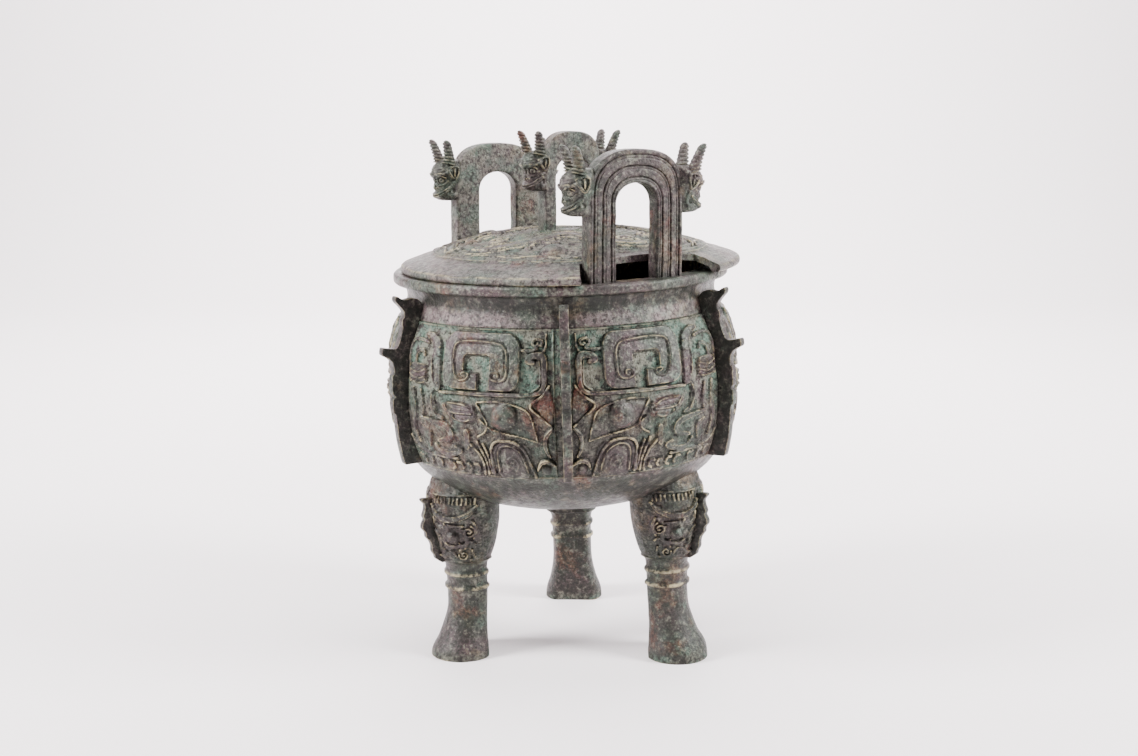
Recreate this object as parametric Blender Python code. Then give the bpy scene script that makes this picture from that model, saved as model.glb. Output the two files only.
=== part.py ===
"""Bronze ding: a round three-legged vessel with a relief band of masks, and its loose lid.

Units are metres and +Z is up. The front, with a narrow flange on the middle of its mask, looks along -Y.
The casting stands a little crooked: bowl and legs lean together, and the feet are cut level.
"""
import math

import bmesh
import bpy
from mathutils import Matrix, Vector

# Stance of the whole casting
LEAN = math.radians(1.6)
SIXTH_TURN = math.radians(60)

# Bowl, on its own leaning axis
NECK_RADIUS = 0.0995
NECK_WALL = 0.0070
RIM_OVERHANG = 0.0085
RIM_RADIUS = NECK_RADIUS + RIM_OVERHANG
MOUTH_RADIUS = NECK_RADIUS - NECK_WALL
RIM_HEIGHT = 0.2493
RIM_THICKNESS = 0.0062
RIM_SOFT = 0.0015
NECK_DROP = 0.0153
NECK_HEIGHT = RIM_HEIGHT - NECK_DROP
BELLY_RADIUS = 0.1123
BOWL_BOTTOM = 0.093
WALL = 0.004
BOWL_SEGMENTS = 36

# The band of masks round the belly
SHOULDER_HEIGHT = 0.0106
BAND_OVER_BOTTOM = 0.0405
BAND_TOP = NECK_HEIGHT - SHOULDER_HEIGHT
BAND_BOTTOM = BOWL_BOTTOM + BAND_OVER_BOTTOM
RELIEF_RISE = 0.0019
HORN_BAND = 0.0130
CARVED_BAND = 0.0055
EYE_RADIUS = 0.0082
EYE_RISE = 0.0042

# Upright flanges on the bowl
FLANGE_THICKNESS = 0.0055
FLANGE_REACH = 0.0100
FLANGE_HOOK_REACH = 0.0165
FLANGE_OVER_NECK = 0.0045
FLANGE_TOP = NECK_HEIGHT + FLANGE_OVER_NECK

# Legs, turned a little from the flanges above them
LEG_TURN = math.radians(-1.7)
FOOT_CIRCLE = 0.0808
FOOT_RADIUS = 0.0203
FOOT_FLARE = 0.022
FOOT_ALLOWANCE = 0.006
SHAFT_CIRCLE = 0.0741
SHAFT_RADIUS = 0.0138
LEG_SHOULDER_RADIUS = 0.0244
LEG_RING_HEIGHTS = (0.0475, 0.0568)
LEG_RING_HALF = 0.0025
LEG_RING_RISE = 0.0014
LEG_MASK_BOTTOM = 0.0655
LEG_INTO_BOWL = 0.029
LEG_TOP = BOWL_BOTTOM + LEG_INTO_BOWL
LEG_MASK_LEDGE = 0.0012
LEG_HORN_HALF = 0.0022
LEG_EYE_RADIUS = 0.0036
LEG_EYE_RISE = 0.0026
LEG_SIDES = 10
LEG_FLANGE_THICKNESS = 0.0045
LEG_FLANGE_REACH = 0.0075

# Handles on the rim: azimuth of each, and how far its outer face stands in from the rim's edge
HANDLE_AZIMUTH = math.radians(28)
FRONT_HANDLE_INSET = 0.0094
REAR_HANDLE_INSET = 0.0045
HANDLE_WIDTH = 0.0634
HANDLE_RISE = 0.0772
HANDLE_THICKNESS = 0.0115
OPENING_WIDTH = 0.0281
OPENING_RISE = 0.0575
OUTER_SPRING = 0.63
INNER_SPRING = 0.78
OUTER_BEND = 2.6
INNER_BEND = 2.1
ARCH_STEPS = 8
GROOVE_WIDTH = 0.0016
GROOVE_DEPTH = 0.0009
GROOVE_COUNT = 3
HANDLE_EMBED = 0.003

# Ox heads on the shoulders of every handle
HEAD_HEIGHT = 0.0285
HEAD_SHOULDER = 0.0245
HORN_LENGTH = 0.0175

# Lid, shifted to one side on the rim
LID_OVERHANG = 0.0016
LID_RADIUS = RIM_RADIUS + LID_OVERHANG
LID_SHIFT = 0.0066
LID_RISE = 0.0235
LID_EDGE = 0.0042
LID_EDGE_SOFT = 0.0010
LID_WALL = 0.0040
LID_SEAT_GAP = 0.0003
LID_TURN = math.radians(2)
LID_BORDER = 0.0211
LID_FIELD_RADIUS = LID_RADIUS - LID_BORDER
NOTCH_CLEARANCE = 0.0019
NOTCH_SIDE_GAP = 0.0093
NOTCH_SPLAY = 0.00825
NOTCH_SIDE_DEPTH = 0.0149
LID_HANDLE_WIDTH = 0.0402
LID_HANDLE_RISE = 0.0640
LID_OPENING_WIDTH = 0.0240
LID_OPENING_RISE = 0.0480
LID_HEAD_HEIGHT = 0.0262
COIL_WIDTH = 0.0120
COIL_BOSSES = ((math.radians(52), 0.80, 0.0090, 0.0055), (math.radians(86), 0.52, 0.0055, 0.0040))
LID_SEGMENTS = 36

LEANING = Matrix.Rotation(-LEAN, 4, "Y")
EMBED = 0.0015
SEAM = 0.000002
FLAT = math.radians(2.0)
CREASE = math.radians(35)

# Shape of the bowl's side as shares of its greatest radius and of the height from bottom to neck
BELLY_FORM = (
    (0.300, 0.020), (0.560, 0.072), (0.757, 0.145), (0.846, 0.200), (0.925, 0.284), (0.975, 0.395),
    (0.999, 0.530), (0.995, 0.660), (0.962, 0.815), (0.905, 0.925),
)


def clear_scene():
    """Start from an empty scene."""
    for old in list(bpy.data.objects):
        bpy.data.objects.remove(old, do_unlink=True)


def bronze(name, colour, roughness):
    """A plain bronze that carries the part's own colour."""
    material = bpy.data.materials.new(name)
    material.use_nodes = True
    shader = material.node_tree.nodes["Principled BSDF"]
    shader.inputs["Base Color"].default_value = (*colour, 1.0)
    shader.inputs["Metallic"].default_value = 0.6
    shader.inputs["Roughness"].default_value = roughness
    return material


def belly_outline():
    """The bowl's outer side as (radius, height), from near the axis up to the neck."""
    span = NECK_HEIGHT - BOWL_BOTTOM
    side = [(share_out * BELLY_RADIUS, BOWL_BOTTOM + share_up * span) for share_out, share_up in BELLY_FORM]
    return side + [(NECK_RADIUS, NECK_HEIGHT)]


def belly_radius(height):
    """Outer radius of the bowl at a height on its side."""
    side = belly_outline()
    for (inner, low), (outer, high) in zip(side, side[1:]):
        if low <= height <= high:
            return inner + (outer - inner) * (height - low) / (high - low)
    return side[0][0] if height < side[0][1] else side[-1][0]


def on_circle(azimuth, radius, height):
    """A point round the vertical axis; azimuth 0 is the front and grows to the viewer's right."""
    return Vector((radius * math.sin(azimuth), -radius * math.cos(azimuth), height))


def on_belly(azimuth, height, rise):
    """A point that stands off the bowl's outer side."""
    return on_circle(azimuth, belly_radius(height) + rise, height)


def turned(outline, segments):
    """Spin an outline of (radius, height) that starts and ends on the axis into a closed body."""
    bm = bmesh.new()
    points = [bm.verts.new((radius, 0, height)) for radius, height in outline]
    edges = [bm.edges.new(pair) for pair in zip(points, points[1:])]
    bmesh.ops.spin(bm, geom=points + edges, axis=(0, 0, 1), cent=(0, 0, 0),
                   angle=math.tau, steps=segments, use_merge=True)
    bmesh.ops.remove_doubles(bm, verts=bm.verts, dist=0.00001)
    bmesh.ops.recalc_face_normals(bm, faces=bm.faces)
    return bm


def drawn(rings):
    """Draw a face out through a row of rings, so that it becomes a closed bar with both ends capped."""
    bm = bmesh.new()
    face = bm.faces.new([bm.verts.new(point) for point in rings[0]])
    ends = bmesh.ops.duplicate(bm, geom=[face])["geom"]
    travelling = next(item for item in ends if isinstance(item, bmesh.types.BMFace))
    for ring in rings[1:]:
        travelling = bmesh.ops.extrude_discrete_faces(bm, faces=[travelling])["faces"][0]
        for vert, point in zip(travelling.verts, ring):
            vert.co = point
    bmesh.ops.remove_doubles(bm, verts=bm.verts, dist=SEAM)
    bmesh.ops.recalc_face_normals(bm, faces=bm.faces)
    bmesh.ops.triangulate(bm, faces=bm.faces)
    return bm


def joined(bodies):
    """Put several closed bodies into one mesh, still as separate shells."""
    whole = bmesh.new()
    for body in bodies:
        scratch = bpy.data.meshes.new("scratch")
        body.to_mesh(scratch)
        body.free()
        whole.from_mesh(scratch)
        bpy.data.meshes.remove(scratch)
    return whole


def moved(body, matrix):
    """Turn or shift a body by a matrix."""
    bmesh.ops.transform(body, matrix=matrix, verts=body.verts)
    return body


def placed(body, name):
    """Make an object of a body."""
    mesh = bpy.data.meshes.new(name)
    body.to_mesh(mesh)
    body.free()
    thing = bpy.data.objects.new(name, mesh)
    bpy.context.scene.collection.objects.link(thing)
    return thing


def combined(thing, other, operation):
    """Join or cut one object by another with an exact Boolean, and keep the result as its mesh."""
    cut = thing.modifiers.new(operation.title(), "BOOLEAN")
    cut.operation = operation
    cut.object = other
    cut.solver = "EXACT"
    cut.use_self = True
    bpy.context.view_layer.update()
    result = bpy.data.meshes.new_from_object(thing.evaluated_get(bpy.context.evaluated_depsgraph_get()))
    thing.modifiers.clear()
    thing.data = result
    seams = bmesh.new()
    seams.from_mesh(result)
    bmesh.ops.dissolve_degenerate(seams, dist=SEAM, edges=seams.edges)
    bmesh.ops.remove_doubles(seams, verts=seams.verts, dist=SEAM)
    bmesh.ops.dissolve_limit(seams, angle_limit=FLAT, verts=seams.verts, edges=seams.edges)
    bmesh.ops.triangulate(seams, faces=seams.faces)
    seams.to_mesh(result)
    seams.free()
    bpy.data.objects.remove(other, do_unlink=True)


def bulge(centre, outward, across, radius, rise, sides=8):
    """A low round boss: a ring sunk in the surface, a shoulder and a small flat crown."""
    upward = outward.cross(across)

    def ring(size, lift):
        turn = math.tau / sides
        return [centre + across * (size * math.cos(k * turn)) + upward * (size * math.sin(k * turn))
                + outward * lift for k in range(sides)]

    return drawn([ring(radius, -EMBED), ring(radius * 0.85, rise * 0.6), ring(radius * 0.40, rise)])


def ridge(stations, surface, width, rise):
    """A raised band along a path of (across, up) on a surface, with sloping sides."""
    rings = []
    for number, (across, up) in enumerate(stations):
        before = stations[max(number - 1, 0)]
        after = stations[min(number + 1, len(stations) - 1)]
        along = Vector((after[0] - before[0], after[1] - before[1])).normalized()
        side = Vector((-along.y, along.x))
        size = width[number] if isinstance(width, tuple) else width
        foot = side * (size * 0.5)
        crown = side * (size * 0.34)
        rings.append([
            surface(across + foot.x, up + foot.y, -EMBED),
            surface(across + crown.x, up + crown.y, rise),
            surface(across - crown.x, up - crown.y, rise),
            surface(across - foot.x, up - foot.y, -EMBED),
        ])
    return drawn(rings)


def bowl_body():
    """The bowl as a filled form with its flat, out-turned rim."""
    neck = (NECK_RADIUS, NECK_HEIGHT)
    outline = [(0, BOWL_BOTTOM)] + belly_outline()[:-1] + [neck]
    lip = RIM_HEIGHT - RIM_THICKNESS
    outline += [(NECK_RADIUS + RIM_SOFT, lip - RIM_SOFT * 2)]
    outline += [(RIM_RADIUS - RIM_SOFT, lip), (RIM_RADIUS, lip + RIM_SOFT)]
    outline += [(RIM_RADIUS, RIM_HEIGHT - RIM_SOFT), (RIM_RADIUS - RIM_SOFT, RIM_HEIGHT), (0, RIM_HEIGHT)]
    return turned(outline, BOWL_SEGMENTS)


def bowl_cavity():
    """The room inside the bowl, one wall thickness in from its outer side."""
    side = [(radius - WALL, height + WALL * 0.5) for radius, height in belly_outline()[2::2]]
    outline = [(0, BOWL_BOTTOM + WALL)] + side[:-1]
    outline += [(MOUTH_RADIUS, NECK_HEIGHT), (MOUTH_RADIUS, RIM_HEIGHT + WALL), (0, RIM_HEIGHT + WALL)]
    return turned(outline, BOWL_SEGMENTS)


def flange(azimuth):
    """An upright flange: an outward hook at the top, a second at mid-height, bumps below, a level foot."""
    hook = BELLY_RADIUS + FLANGE_HOOK_REACH
    drop = FLANGE_TOP - BAND_BOTTOM
    inner = [(radius - WALL * 0.6, height) for radius, height in belly_outline()
             if BAND_BOTTOM < height < NECK_HEIGHT]
    root = WALL * 0.6
    foot = belly_radius(BAND_BOTTOM)
    edge = ((0.45, 0.0), (0.60, 0.020), (0.05, 0.085), (0.40, 0.220), (0.75, 0.310))
    outer = [(belly_radius(NECK_HEIGHT) - root, FLANGE_TOP - drop * 0.055)]
    outer += [(BELLY_RADIUS + FLANGE_REACH * out, FLANGE_TOP - drop * down) for out, down in edge]
    outer += [(hook, FLANGE_TOP - drop * 0.310), (hook, FLANGE_TOP - drop * 0.345)]
    edge = ((1.10, 0.380), (0.95, 0.420), (1.0, 0.730), (0.70, 0.870))
    outer += [(BELLY_RADIUS + FLANGE_REACH * out, FLANGE_TOP - drop * down) for out, down in edge]
    outer += [(foot + FLANGE_REACH * 1.25, BAND_BOTTOM), (foot - root, BAND_BOTTOM)]
    profile = outer + inner
    across = on_circle(azimuth + math.pi / 2, 1, 0)
    sides = [[on_circle(azimuth, radius, height) + across * offset for radius, height in profile]
             for offset in (-FLANGE_THICKNESS / 2, FLANGE_THICKNESS / 2)]
    return drawn(sides)


def leg_form():
    """Height, distance of the leg's axis from the bowl's axis, and leg radius, from the foot up."""
    form = [(-FOOT_ALLOWANCE, FOOT_CIRCLE, FOOT_RADIUS)]
    for share_up, flare in ((0.18, 0.94), (0.55, 0.66), (1.0, 0.30)):
        form.append((FOOT_FLARE * share_up, SHAFT_CIRCLE + (FOOT_CIRCLE - SHAFT_CIRCLE) * flare,
                     SHAFT_RADIUS + (FOOT_RADIUS - SHAFT_RADIUS) * flare))
    for ring in LEG_RING_HEIGHTS:
        for offset, rise in ((-1.0, 0), (-0.5, LEG_RING_RISE), (0.5, LEG_RING_RISE), (1.0, 0)):
            form.append((ring + LEG_RING_HALF * offset, SHAFT_CIRCLE, SHAFT_RADIUS + rise))
    form.append((LEG_MASK_BOTTOM, SHAFT_CIRCLE, SHAFT_RADIUS + LEG_RING_RISE))
    form.append((LEG_MASK_BOTTOM + LEG_MASK_LEDGE, SHAFT_CIRCLE, SHAFT_RADIUS + LEG_RING_RISE * 2.7))
    for share_up, share_out in ((0.26, 0.87), (0.61, 1.0), (0.82, 0.98), (1.0, 0.86)):
        form.append((on_leg_mask(share_up), SHAFT_CIRCLE, LEG_SHOULDER_RADIUS * share_out))
    return form


def on_leg_mask(share):
    """A height on a leg's mask, from its lower border (0) to the leg's top inside the bowl (1)."""
    return LEG_MASK_BOTTOM + share * (LEG_TOP - LEG_MASK_BOTTOM)


def leg_point(azimuth, turn, height, rise):
    """A point on a leg's skin; turn 0 looks away from the bowl's axis, and the inner side is flattened."""
    form = leg_form()
    circle, radius = form[-1][1:]
    for (low, low_circle, low_radius), (high, high_circle, high_radius) in zip(form, form[1:]):
        if low <= height <= high:
            share = (height - low) / (high - low)
            circle = low_circle + (high_circle - low_circle) * share
            radius = low_radius + (high_radius - low_radius) * share
            break
    radial = (radius + rise) * max(math.cos(turn), -0.72)
    sideways = (radius + rise) * math.sin(turn)
    return on_circle(azimuth, circle + radial, height) + on_circle(azimuth + math.pi / 2, sideways, 0)


def leg(azimuth):
    """One leg: flared foot, two ring mouldings, a mask with a flange, horns and eyes on its shoulder."""
    turns = [math.tau * k / LEG_SIDES for k in range(LEG_SIDES)]
    shaft = drawn([[leg_point(azimuth, turn, height, 0) for turn in turns] for height, _, _ in leg_form()])
    bodies = [shaft, leg_flange(azimuth)]

    def skin(turn, height, rise):
        return leg_point(azimuth, turn, height, rise)

    for side in (-1, 1):
        horn_shares = ((0.35, 0.59), (0.60, 0.51), (1.05, 0.50), (1.45, 0.57))
        horn = [(side * turn, on_leg_mask(share)) for turn, share in horn_shares]
        bodies.append(leg_ridge(horn, skin))
        eye_turn = side * 0.72
        eye_height = on_leg_mask(0.34)
        eye = skin(eye_turn, eye_height, 0)
        outward = (skin(eye_turn, eye_height, LEG_EYE_RISE) - eye).normalized()
        across = outward.cross(Vector((0, 0, 1))).normalized()
        bodies.append(bulge(eye, outward, across, LEG_EYE_RADIUS, LEG_EYE_RISE, 6))
    return joined(bodies)


def leg_ridge(stations, skin):
    """A raised horn on a leg: its path is (turn, height)."""
    rings = []
    half = LEG_HORN_HALF
    for turn, height in stations:
        rings.append([skin(turn, height - half, -EMBED), skin(turn, height - half * 0.6, LEG_RING_RISE),
                      skin(turn, height + half * 0.6, LEG_RING_RISE), skin(turn, height + half, -EMBED)])
    return drawn(rings)


def leg_flange(azimuth):
    """The wavy flange down the middle of a leg's mask."""
    reach = LEG_FLANGE_REACH
    foot = LEG_MASK_BOTTOM - EMBED * 0.5
    edge = [(on_leg_mask(share), out) for share, out in (
        (0.770, 0.30), (0.761, 1.05), (0.630, 0.75), (0.540, 0.85), (0.416, 1.15),
        (0.327, 1.00), (0.186, 0.70), (0.062, 0.75))] + [(foot, 0.50)]
    profile = [(-leg_point(0, 0, height, reach * share).y, height) for height, share in edge]
    profile += [(-leg_point(0, 0, height, -SHAFT_RADIUS * 0.3).y, height)
                for height in (foot, on_leg_mask(0.26), on_leg_mask(0.770))]
    across = on_circle(azimuth + math.pi / 2, 1, 0)
    half = LEG_FLANGE_THICKNESS / 2
    return drawn([[on_circle(azimuth, radius, height) + across * offset for radius, height in profile]
                  for offset in (-half, half)])


def arch(width, rise, springing, bend, steps):
    """Points (sideways, up) of an arch from its left foot to its right: straight legs, a flattened crown."""
    half = width / 2
    points = [(-half, 0.0)]
    for step in range(steps + 1):
        angle = math.pi * (1 - step / steps)
        sideways = math.copysign(abs(math.cos(angle)) ** (2 / bend), math.cos(angle))
        points.append((half * sideways, springing + (rise - springing) * abs(math.sin(angle)) ** (2 / bend)))
    return points + [(half, 0.0)]


def handle(width, rise, opening_width, opening_rise, grooves):
    """An upright handle in its own frame: X across, Z up, its outer face at Y = 0 looking along -Y."""
    springing = rise * OUTER_SPRING
    opening_springing = min(springing, opening_rise * INNER_SPRING)
    outer = arch(width, rise, springing, OUTER_BEND, ARCH_STEPS)
    inner = arch(opening_width, opening_rise, opening_springing, INNER_BEND, ARCH_STEPS)
    rings = []
    for (outer_x, outer_z), (inner_x, inner_z) in zip(outer, inner):
        start = Vector((outer_x, 0, outer_z))
        end = Vector((inner_x, 0, inner_z))
        run = (end - start).length
        ring = [start]
        for groove in range(grooves):
            middle = run * (groove + 0.5) / grooves
            for offset, depth in ((-0.5, 0), (0, GROOVE_DEPTH), (0.5, 0)):
                point = start + (end - start).normalized() * (middle + offset * GROOVE_WIDTH)
                ring.append(point + Vector((0, depth, 0)))
        through = Vector((0, HANDLE_THICKNESS, 0))
        ring += [end, end + through, start + through]
        rings.append(ring)
    rings[0] = [point - Vector((0, 0, HANDLE_EMBED)) for point in rings[0]]
    rings[-1] = [point - Vector((0, 0, HANDLE_EMBED)) for point in rings[-1]]
    return drawn(rings)


def ox_head(height, thickness):
    """An ox head in its own frame: it looks along +X from the handle's edge, and its eyes are at Z = 0."""
    unit = height / 10
    skull = [(-1.0, 0.1, 3.0, 4.3), (1.2, 0.2, 3.3, 4.4), (3.0, 0.0, 3.0, 4.0), (4.3, -1.8, 2.3, 2.7),
             (5.8, -3.0, 1.7, 1.6)]
    rings = []
    for out, level, half_width, half_height in skull:
        rings.append([Vector((out, half_width * math.cos(k * math.tau / 8 + math.pi / 8),
                              level + half_height * math.sin(k * math.tau / 8 + math.pi / 8))) * unit
                      for k in range(8)])
    bodies = [drawn(rings)]
    for side in (-1, 1):
        eye = Vector((2.9, side * 2.6, 0.6)) * unit
        gaze = Vector((0.5, side, 0.1)).normalized()
        bodies.append(bulge(eye, gaze, Vector((0, 0, 1)), unit * 1.0, unit * 0.7, 6))
        bodies.append(horn(side, unit))
        ear = [(0.6, 2.2, 0.4, 1.1, 0.5), (0.4, 3.9, 1.0, 1.0, 0.4), (0.2, 5.2, 1.5, 0.3, 0.2)]
        bodies.append(drawn([[Vector((out + wide * cosine, side * away, up + tall * sine)) * unit
                              for cosine, sine in ((1, 0), (0, 1), (-1, 0), (0, -1))]
                             for out, away, up, tall, wide in ear]))
    whole = joined(bodies)
    return moved(whole, Matrix.Translation((0, thickness / 2, 0)))


def horn(side, unit):
    """A tapering, ringed horn that rises and spreads."""
    length = HORN_LENGTH * unit * 10 / HEAD_HEIGHT
    rings = []
    count = 7
    for number in range(count):
        share = number / (count - 1)
        radius = unit * (1.40 - 0.85 * share) * (1.0 if number % 2 == 0 else 0.80)
        centre = Vector((unit * (2.1 + 1.6 * share), side * unit * (2.3 + 1.3 * share),
                         unit * 3.2 + (length + unit * 1.0) * share))
        turns = [k * math.tau / 5 for k in range(5)]
        rings.append([centre + radius * Vector((math.cos(turn), math.sin(turn), 0)) for turn in turns])
    return drawn(rings)


def handle_with_heads(width, rise, opening_width, opening_rise, head_height, grooves):
    """A handle and the two heads that look out from its shoulders."""
    bodies = [handle(width, rise, opening_width, opening_rise, grooves)]
    for side in (-1, 1):
        head = ox_head(head_height, HANDLE_THICKNESS)
        if side < 0:
            moved(head, Matrix.Scale(-1, 4, (1, 0, 0)))
            bmesh.ops.reverse_faces(head, faces=head.faces)
        bodies.append(moved(head, Matrix.Translation((side * width / 2, 0, rise - HEAD_SHOULDER))))
    return joined(bodies)


def stood_on(body, azimuth, face, height):
    """Stand an upright body with its front at a distance from the leaning axis; it stays plumb."""
    foot = LEANING @ on_circle(azimuth, face, height)
    return moved(body, Matrix.Translation(foot) @ Matrix.Rotation(azimuth, 4, "Z"))


def mask_half(centre, side):
    """Half of a mask: horn, brow, eye, ear, jaw, body and a small upright dragon beside it."""
    def belly(across, up, rise):
        return on_belly(centre + side * across / BELLY_RADIUS, up, rise)

    def place(share_across, share_up):
        width = BELLY_RADIUS * SIXTH_TURN
        return share_across * width, BAND_BOTTOM + share_up * (BAND_TOP - BAND_BOTTOM)

    def path(*shares):
        return [place(*share) for share in shares]

    eye_across, eye_up = place(0.300, 0.430)
    eye = belly(eye_across, eye_up, 0)
    outward = (belly(eye_across, eye_up, 0.001) - eye).normalized()
    bodies = [bulge(eye, outward, Vector((0, 0, 1)), EYE_RADIUS, EYE_RISE)]
    horn_path = path((0.375, 0.660), (0.290, 0.665), (0.285, 0.800), (0.320, 0.905), (0.450, 0.915),
                     (0.590, 0.890), (0.590, 0.770), (0.575, 0.660), (0.455, 0.660))
    bodies.append(ridge(horn_path, belly, HORN_BAND, RELIEF_RISE))
    brow = path((0.075, 0.850), (0.085, 0.700), (0.120, 0.590), (0.400, 0.585), (0.640, 0.560))
    bodies.append(ridge(brow, belly, CARVED_BAND * 0.85, RELIEF_RISE * 0.8))
    curl = path((0.205, 0.760), (0.200, 0.850), (0.110, 0.870), (0.110, 0.930))
    bodies.append(ridge(curl, belly, CARVED_BAND * 0.8, RELIEF_RISE * 0.9))
    ear = path((0.640, 0.470), (0.555, 0.465), (0.475, 0.400))
    bodies.append(ridge(ear, belly, tuple(CARVED_BAND * share for share in (0.6, 1.8, 1.3)), RELIEF_RISE))
    jaw = path((0.385, 0.030), (0.380, 0.190), (0.335, 0.260), (0.230, 0.240), (0.165, 0.030))
    bodies.append(ridge(jaw, belly, CARVED_BAND, RELIEF_RISE))
    nose = path((0.055, 0.420), (0.075, 0.250), (0.095, 0.110))
    bodies.append(ridge(nose, belly, tuple(CARVED_BAND * share for share in (0.7, 1.1, 1.6)), RELIEF_RISE))
    body = path((0.440, 0.060), (0.470, 0.260), (0.600, 0.330), (0.640, 0.170), (0.760, 0.110))
    bodies.append(ridge(body, belly, CARVED_BAND, RELIEF_RISE))
    dragon = path((0.700, 0.900), (0.715, 0.640), (0.790, 0.400), (0.900, 0.300))
    bodies.append(ridge(dragon, belly, CARVED_BAND, RELIEF_RISE))
    hook = path((0.900, 0.880), (0.815, 0.860), (0.815, 0.690), (0.900, 0.680))
    bodies.append(ridge(hook, belly, CARVED_BAND, RELIEF_RISE * 1.2))
    return joined(bodies)


def floor_block():
    """Everything below the floor, which cuts the feet level."""
    bm = bmesh.new()
    size = RIM_RADIUS * 4
    bmesh.ops.create_cube(bm, size=1, matrix=Matrix.Translation((0, 0, -size / 2)) @ Matrix.Scale(size, 4))
    return bm


def build_vessel():
    """The vessel: bowl, rim, flanges, relief, legs and rim handles are one casting."""
    vessel = placed(moved(bowl_body(), LEANING), "vessel")
    added = []
    for number in range(6):
        added.append(flange(number * SIXTH_TURN))
    for number in (1, 3, 5):
        added.append(leg(number * SIXTH_TURN + LEG_TURN))
    for number in (0, 2, 4):
        for side in (-1, 1):
            added.append(mask_half(number * SIXTH_TURN, side))
    combined(vessel, placed(moved(joined(added), LEANING), "additions"), "UNION")
    combined(vessel, placed(moved(bowl_cavity(), LEANING), "cavity"), "DIFFERENCE")
    combined(vessel, placed(floor_block(), "floor"), "DIFFERENCE")
    handles = []
    stands = ((HANDLE_AZIMUTH, FRONT_HANDLE_INSET), (HANDLE_AZIMUTH + math.pi, REAR_HANDLE_INSET))
    for azimuth, inset in stands:
        body = handle_with_heads(HANDLE_WIDTH, HANDLE_RISE, OPENING_WIDTH, OPENING_RISE, HEAD_HEIGHT,
                                 GROOVE_COUNT)
        handles.append(stood_on(body, azimuth, RIM_RADIUS - inset, RIM_HEIGHT))
    combined(vessel, placed(joined(handles), "handles"), "UNION")
    return vessel


def lid_level(radius):
    """Height of the lid's upper side above its seat."""
    share = min(radius / LID_RADIUS, 1.0)
    return LID_EDGE + (LID_RISE - LID_EDGE) * (1 - share ** 2.1)


def lid_body():
    """The lid's domed shell with a flat seat at its edge."""
    radii = [LID_RADIUS * share for share in (0.0, 0.2, 0.4, 0.6, 0.75, 0.88, 0.97)]
    outline = [(radius, lid_level(radius)) for radius in radii]
    outline += [(LID_RADIUS, LID_EDGE * 0.7), (LID_RADIUS, LID_EDGE * 0.25), (LID_RADIUS - LID_EDGE_SOFT, 0)]
    outline += [(LID_RADIUS * 0.95, 0)]
    outline += [(radius, lid_level(radius) - LID_WALL) for radius in radii[-2:1:-2]]
    outline += [(0, LID_RISE - LID_WALL)]
    return turned(outline, LID_SEGMENTS)


def lid_notch(azimuth):
    """A notch that lets a rim handle stand through the lid's edge."""
    handle_back = RIM_RADIUS - FRONT_HANDLE_INSET - HANDLE_THICKNESS
    floor = handle_back - LID_SHIFT * math.sin(HANDLE_AZIMUTH) - NOTCH_CLEARANCE
    narrow = HANDLE_WIDTH / 2 + NOTCH_SIDE_GAP
    wide = narrow + NOTCH_SPLAY
    mouth = floor + NOTCH_SIDE_DEPTH
    beyond = LID_RADIUS * 1.2
    plan = [(-narrow, floor), (narrow, floor), (wide, mouth), (wide, beyond), (-wide, beyond), (-wide, mouth)]
    across = on_circle(azimuth + math.pi / 2, 1, 0)
    return drawn([[on_circle(azimuth, outward, height) + across * sideways for sideways, outward in plan]
                  for height in (-LID_RISE, LID_RISE * 2)])


def lid_relief():
    """Coiled creatures on the lid: curved bodies with a raised head boss, three times round."""
    def dome(across, up, rise):
        return Vector((across, up, lid_level(math.hypot(across, up)) + rise))

    bodies = []
    field = LID_FIELD_RADIUS
    for number in range(3):
        start = math.radians(-60 + 120 * number)
        coil = []
        for step in range(9):
            share = step / 8
            angle = start + math.radians(10 + 92 * share)
            reach = field * (0.88 - 0.42 * math.sin(share * math.pi) ** 2 - 0.10 * share)
            coil.append((reach * math.sin(angle), -reach * math.cos(angle)))
        width = tuple(COIL_WIDTH * share for share in (0.5, 0.75, 0.92, 1.0, 1.0, 0.92, 0.83, 0.67, 0.42))
        bodies.append(ridge(coil, dome, width, RELIEF_RISE * 1.3))
        for turn, reach, radius, rise in COIL_BOSSES:
            angle = start + turn
            spot = dome(field * reach * math.sin(angle), -field * reach * math.cos(angle), 0)
            bodies.append(bulge(spot, Vector((0, 0, 1)), Vector((1, 0, 0)), radius, rise))
    return joined(bodies)


def build_lid():
    """The lid lifts off: a notched dome with a loop handle between two ox heads."""
    seat = RIM_HEIGHT + LID_SEAT_GAP
    seating = LEANING @ Matrix.Translation((LID_SHIFT, 0, seat))
    lid = placed(moved(lid_body(), seating), "lid")
    combined(lid, placed(moved(lid_relief(), seating), "relief"), "UNION")
    notches = joined([lid_notch(HANDLE_AZIMUTH + LID_TURN + half * math.pi) for half in (0, 1)])
    combined(lid, placed(moved(notches, seating), "notches"), "DIFFERENCE")
    loop = handle_with_heads(LID_HANDLE_WIDTH, LID_HANDLE_RISE, LID_OPENING_WIDTH, LID_OPENING_RISE,
                             LID_HEAD_HEIGHT, 0)
    foot = seating @ Vector((0, 0, LID_RISE - HANDLE_EMBED * 0.5))
    middle = Matrix.Translation((0, -HANDLE_THICKNESS / 2, 0))
    moved(loop, Matrix.Translation(foot) @ Matrix.Rotation(HANDLE_AZIMUTH, 4, "Z") @ middle)
    combined(lid, placed(loop, "loop"), "UNION")
    return lid


def finish(thing, material):
    """Give a node its material and smooth round surfaces with crisp arrises."""
    thing.data.materials.clear()
    thing.data.materials.append(material)
    thing.data.shade_smooth()
    thing.data.set_sharp_from_angle(angle=CREASE)


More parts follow.
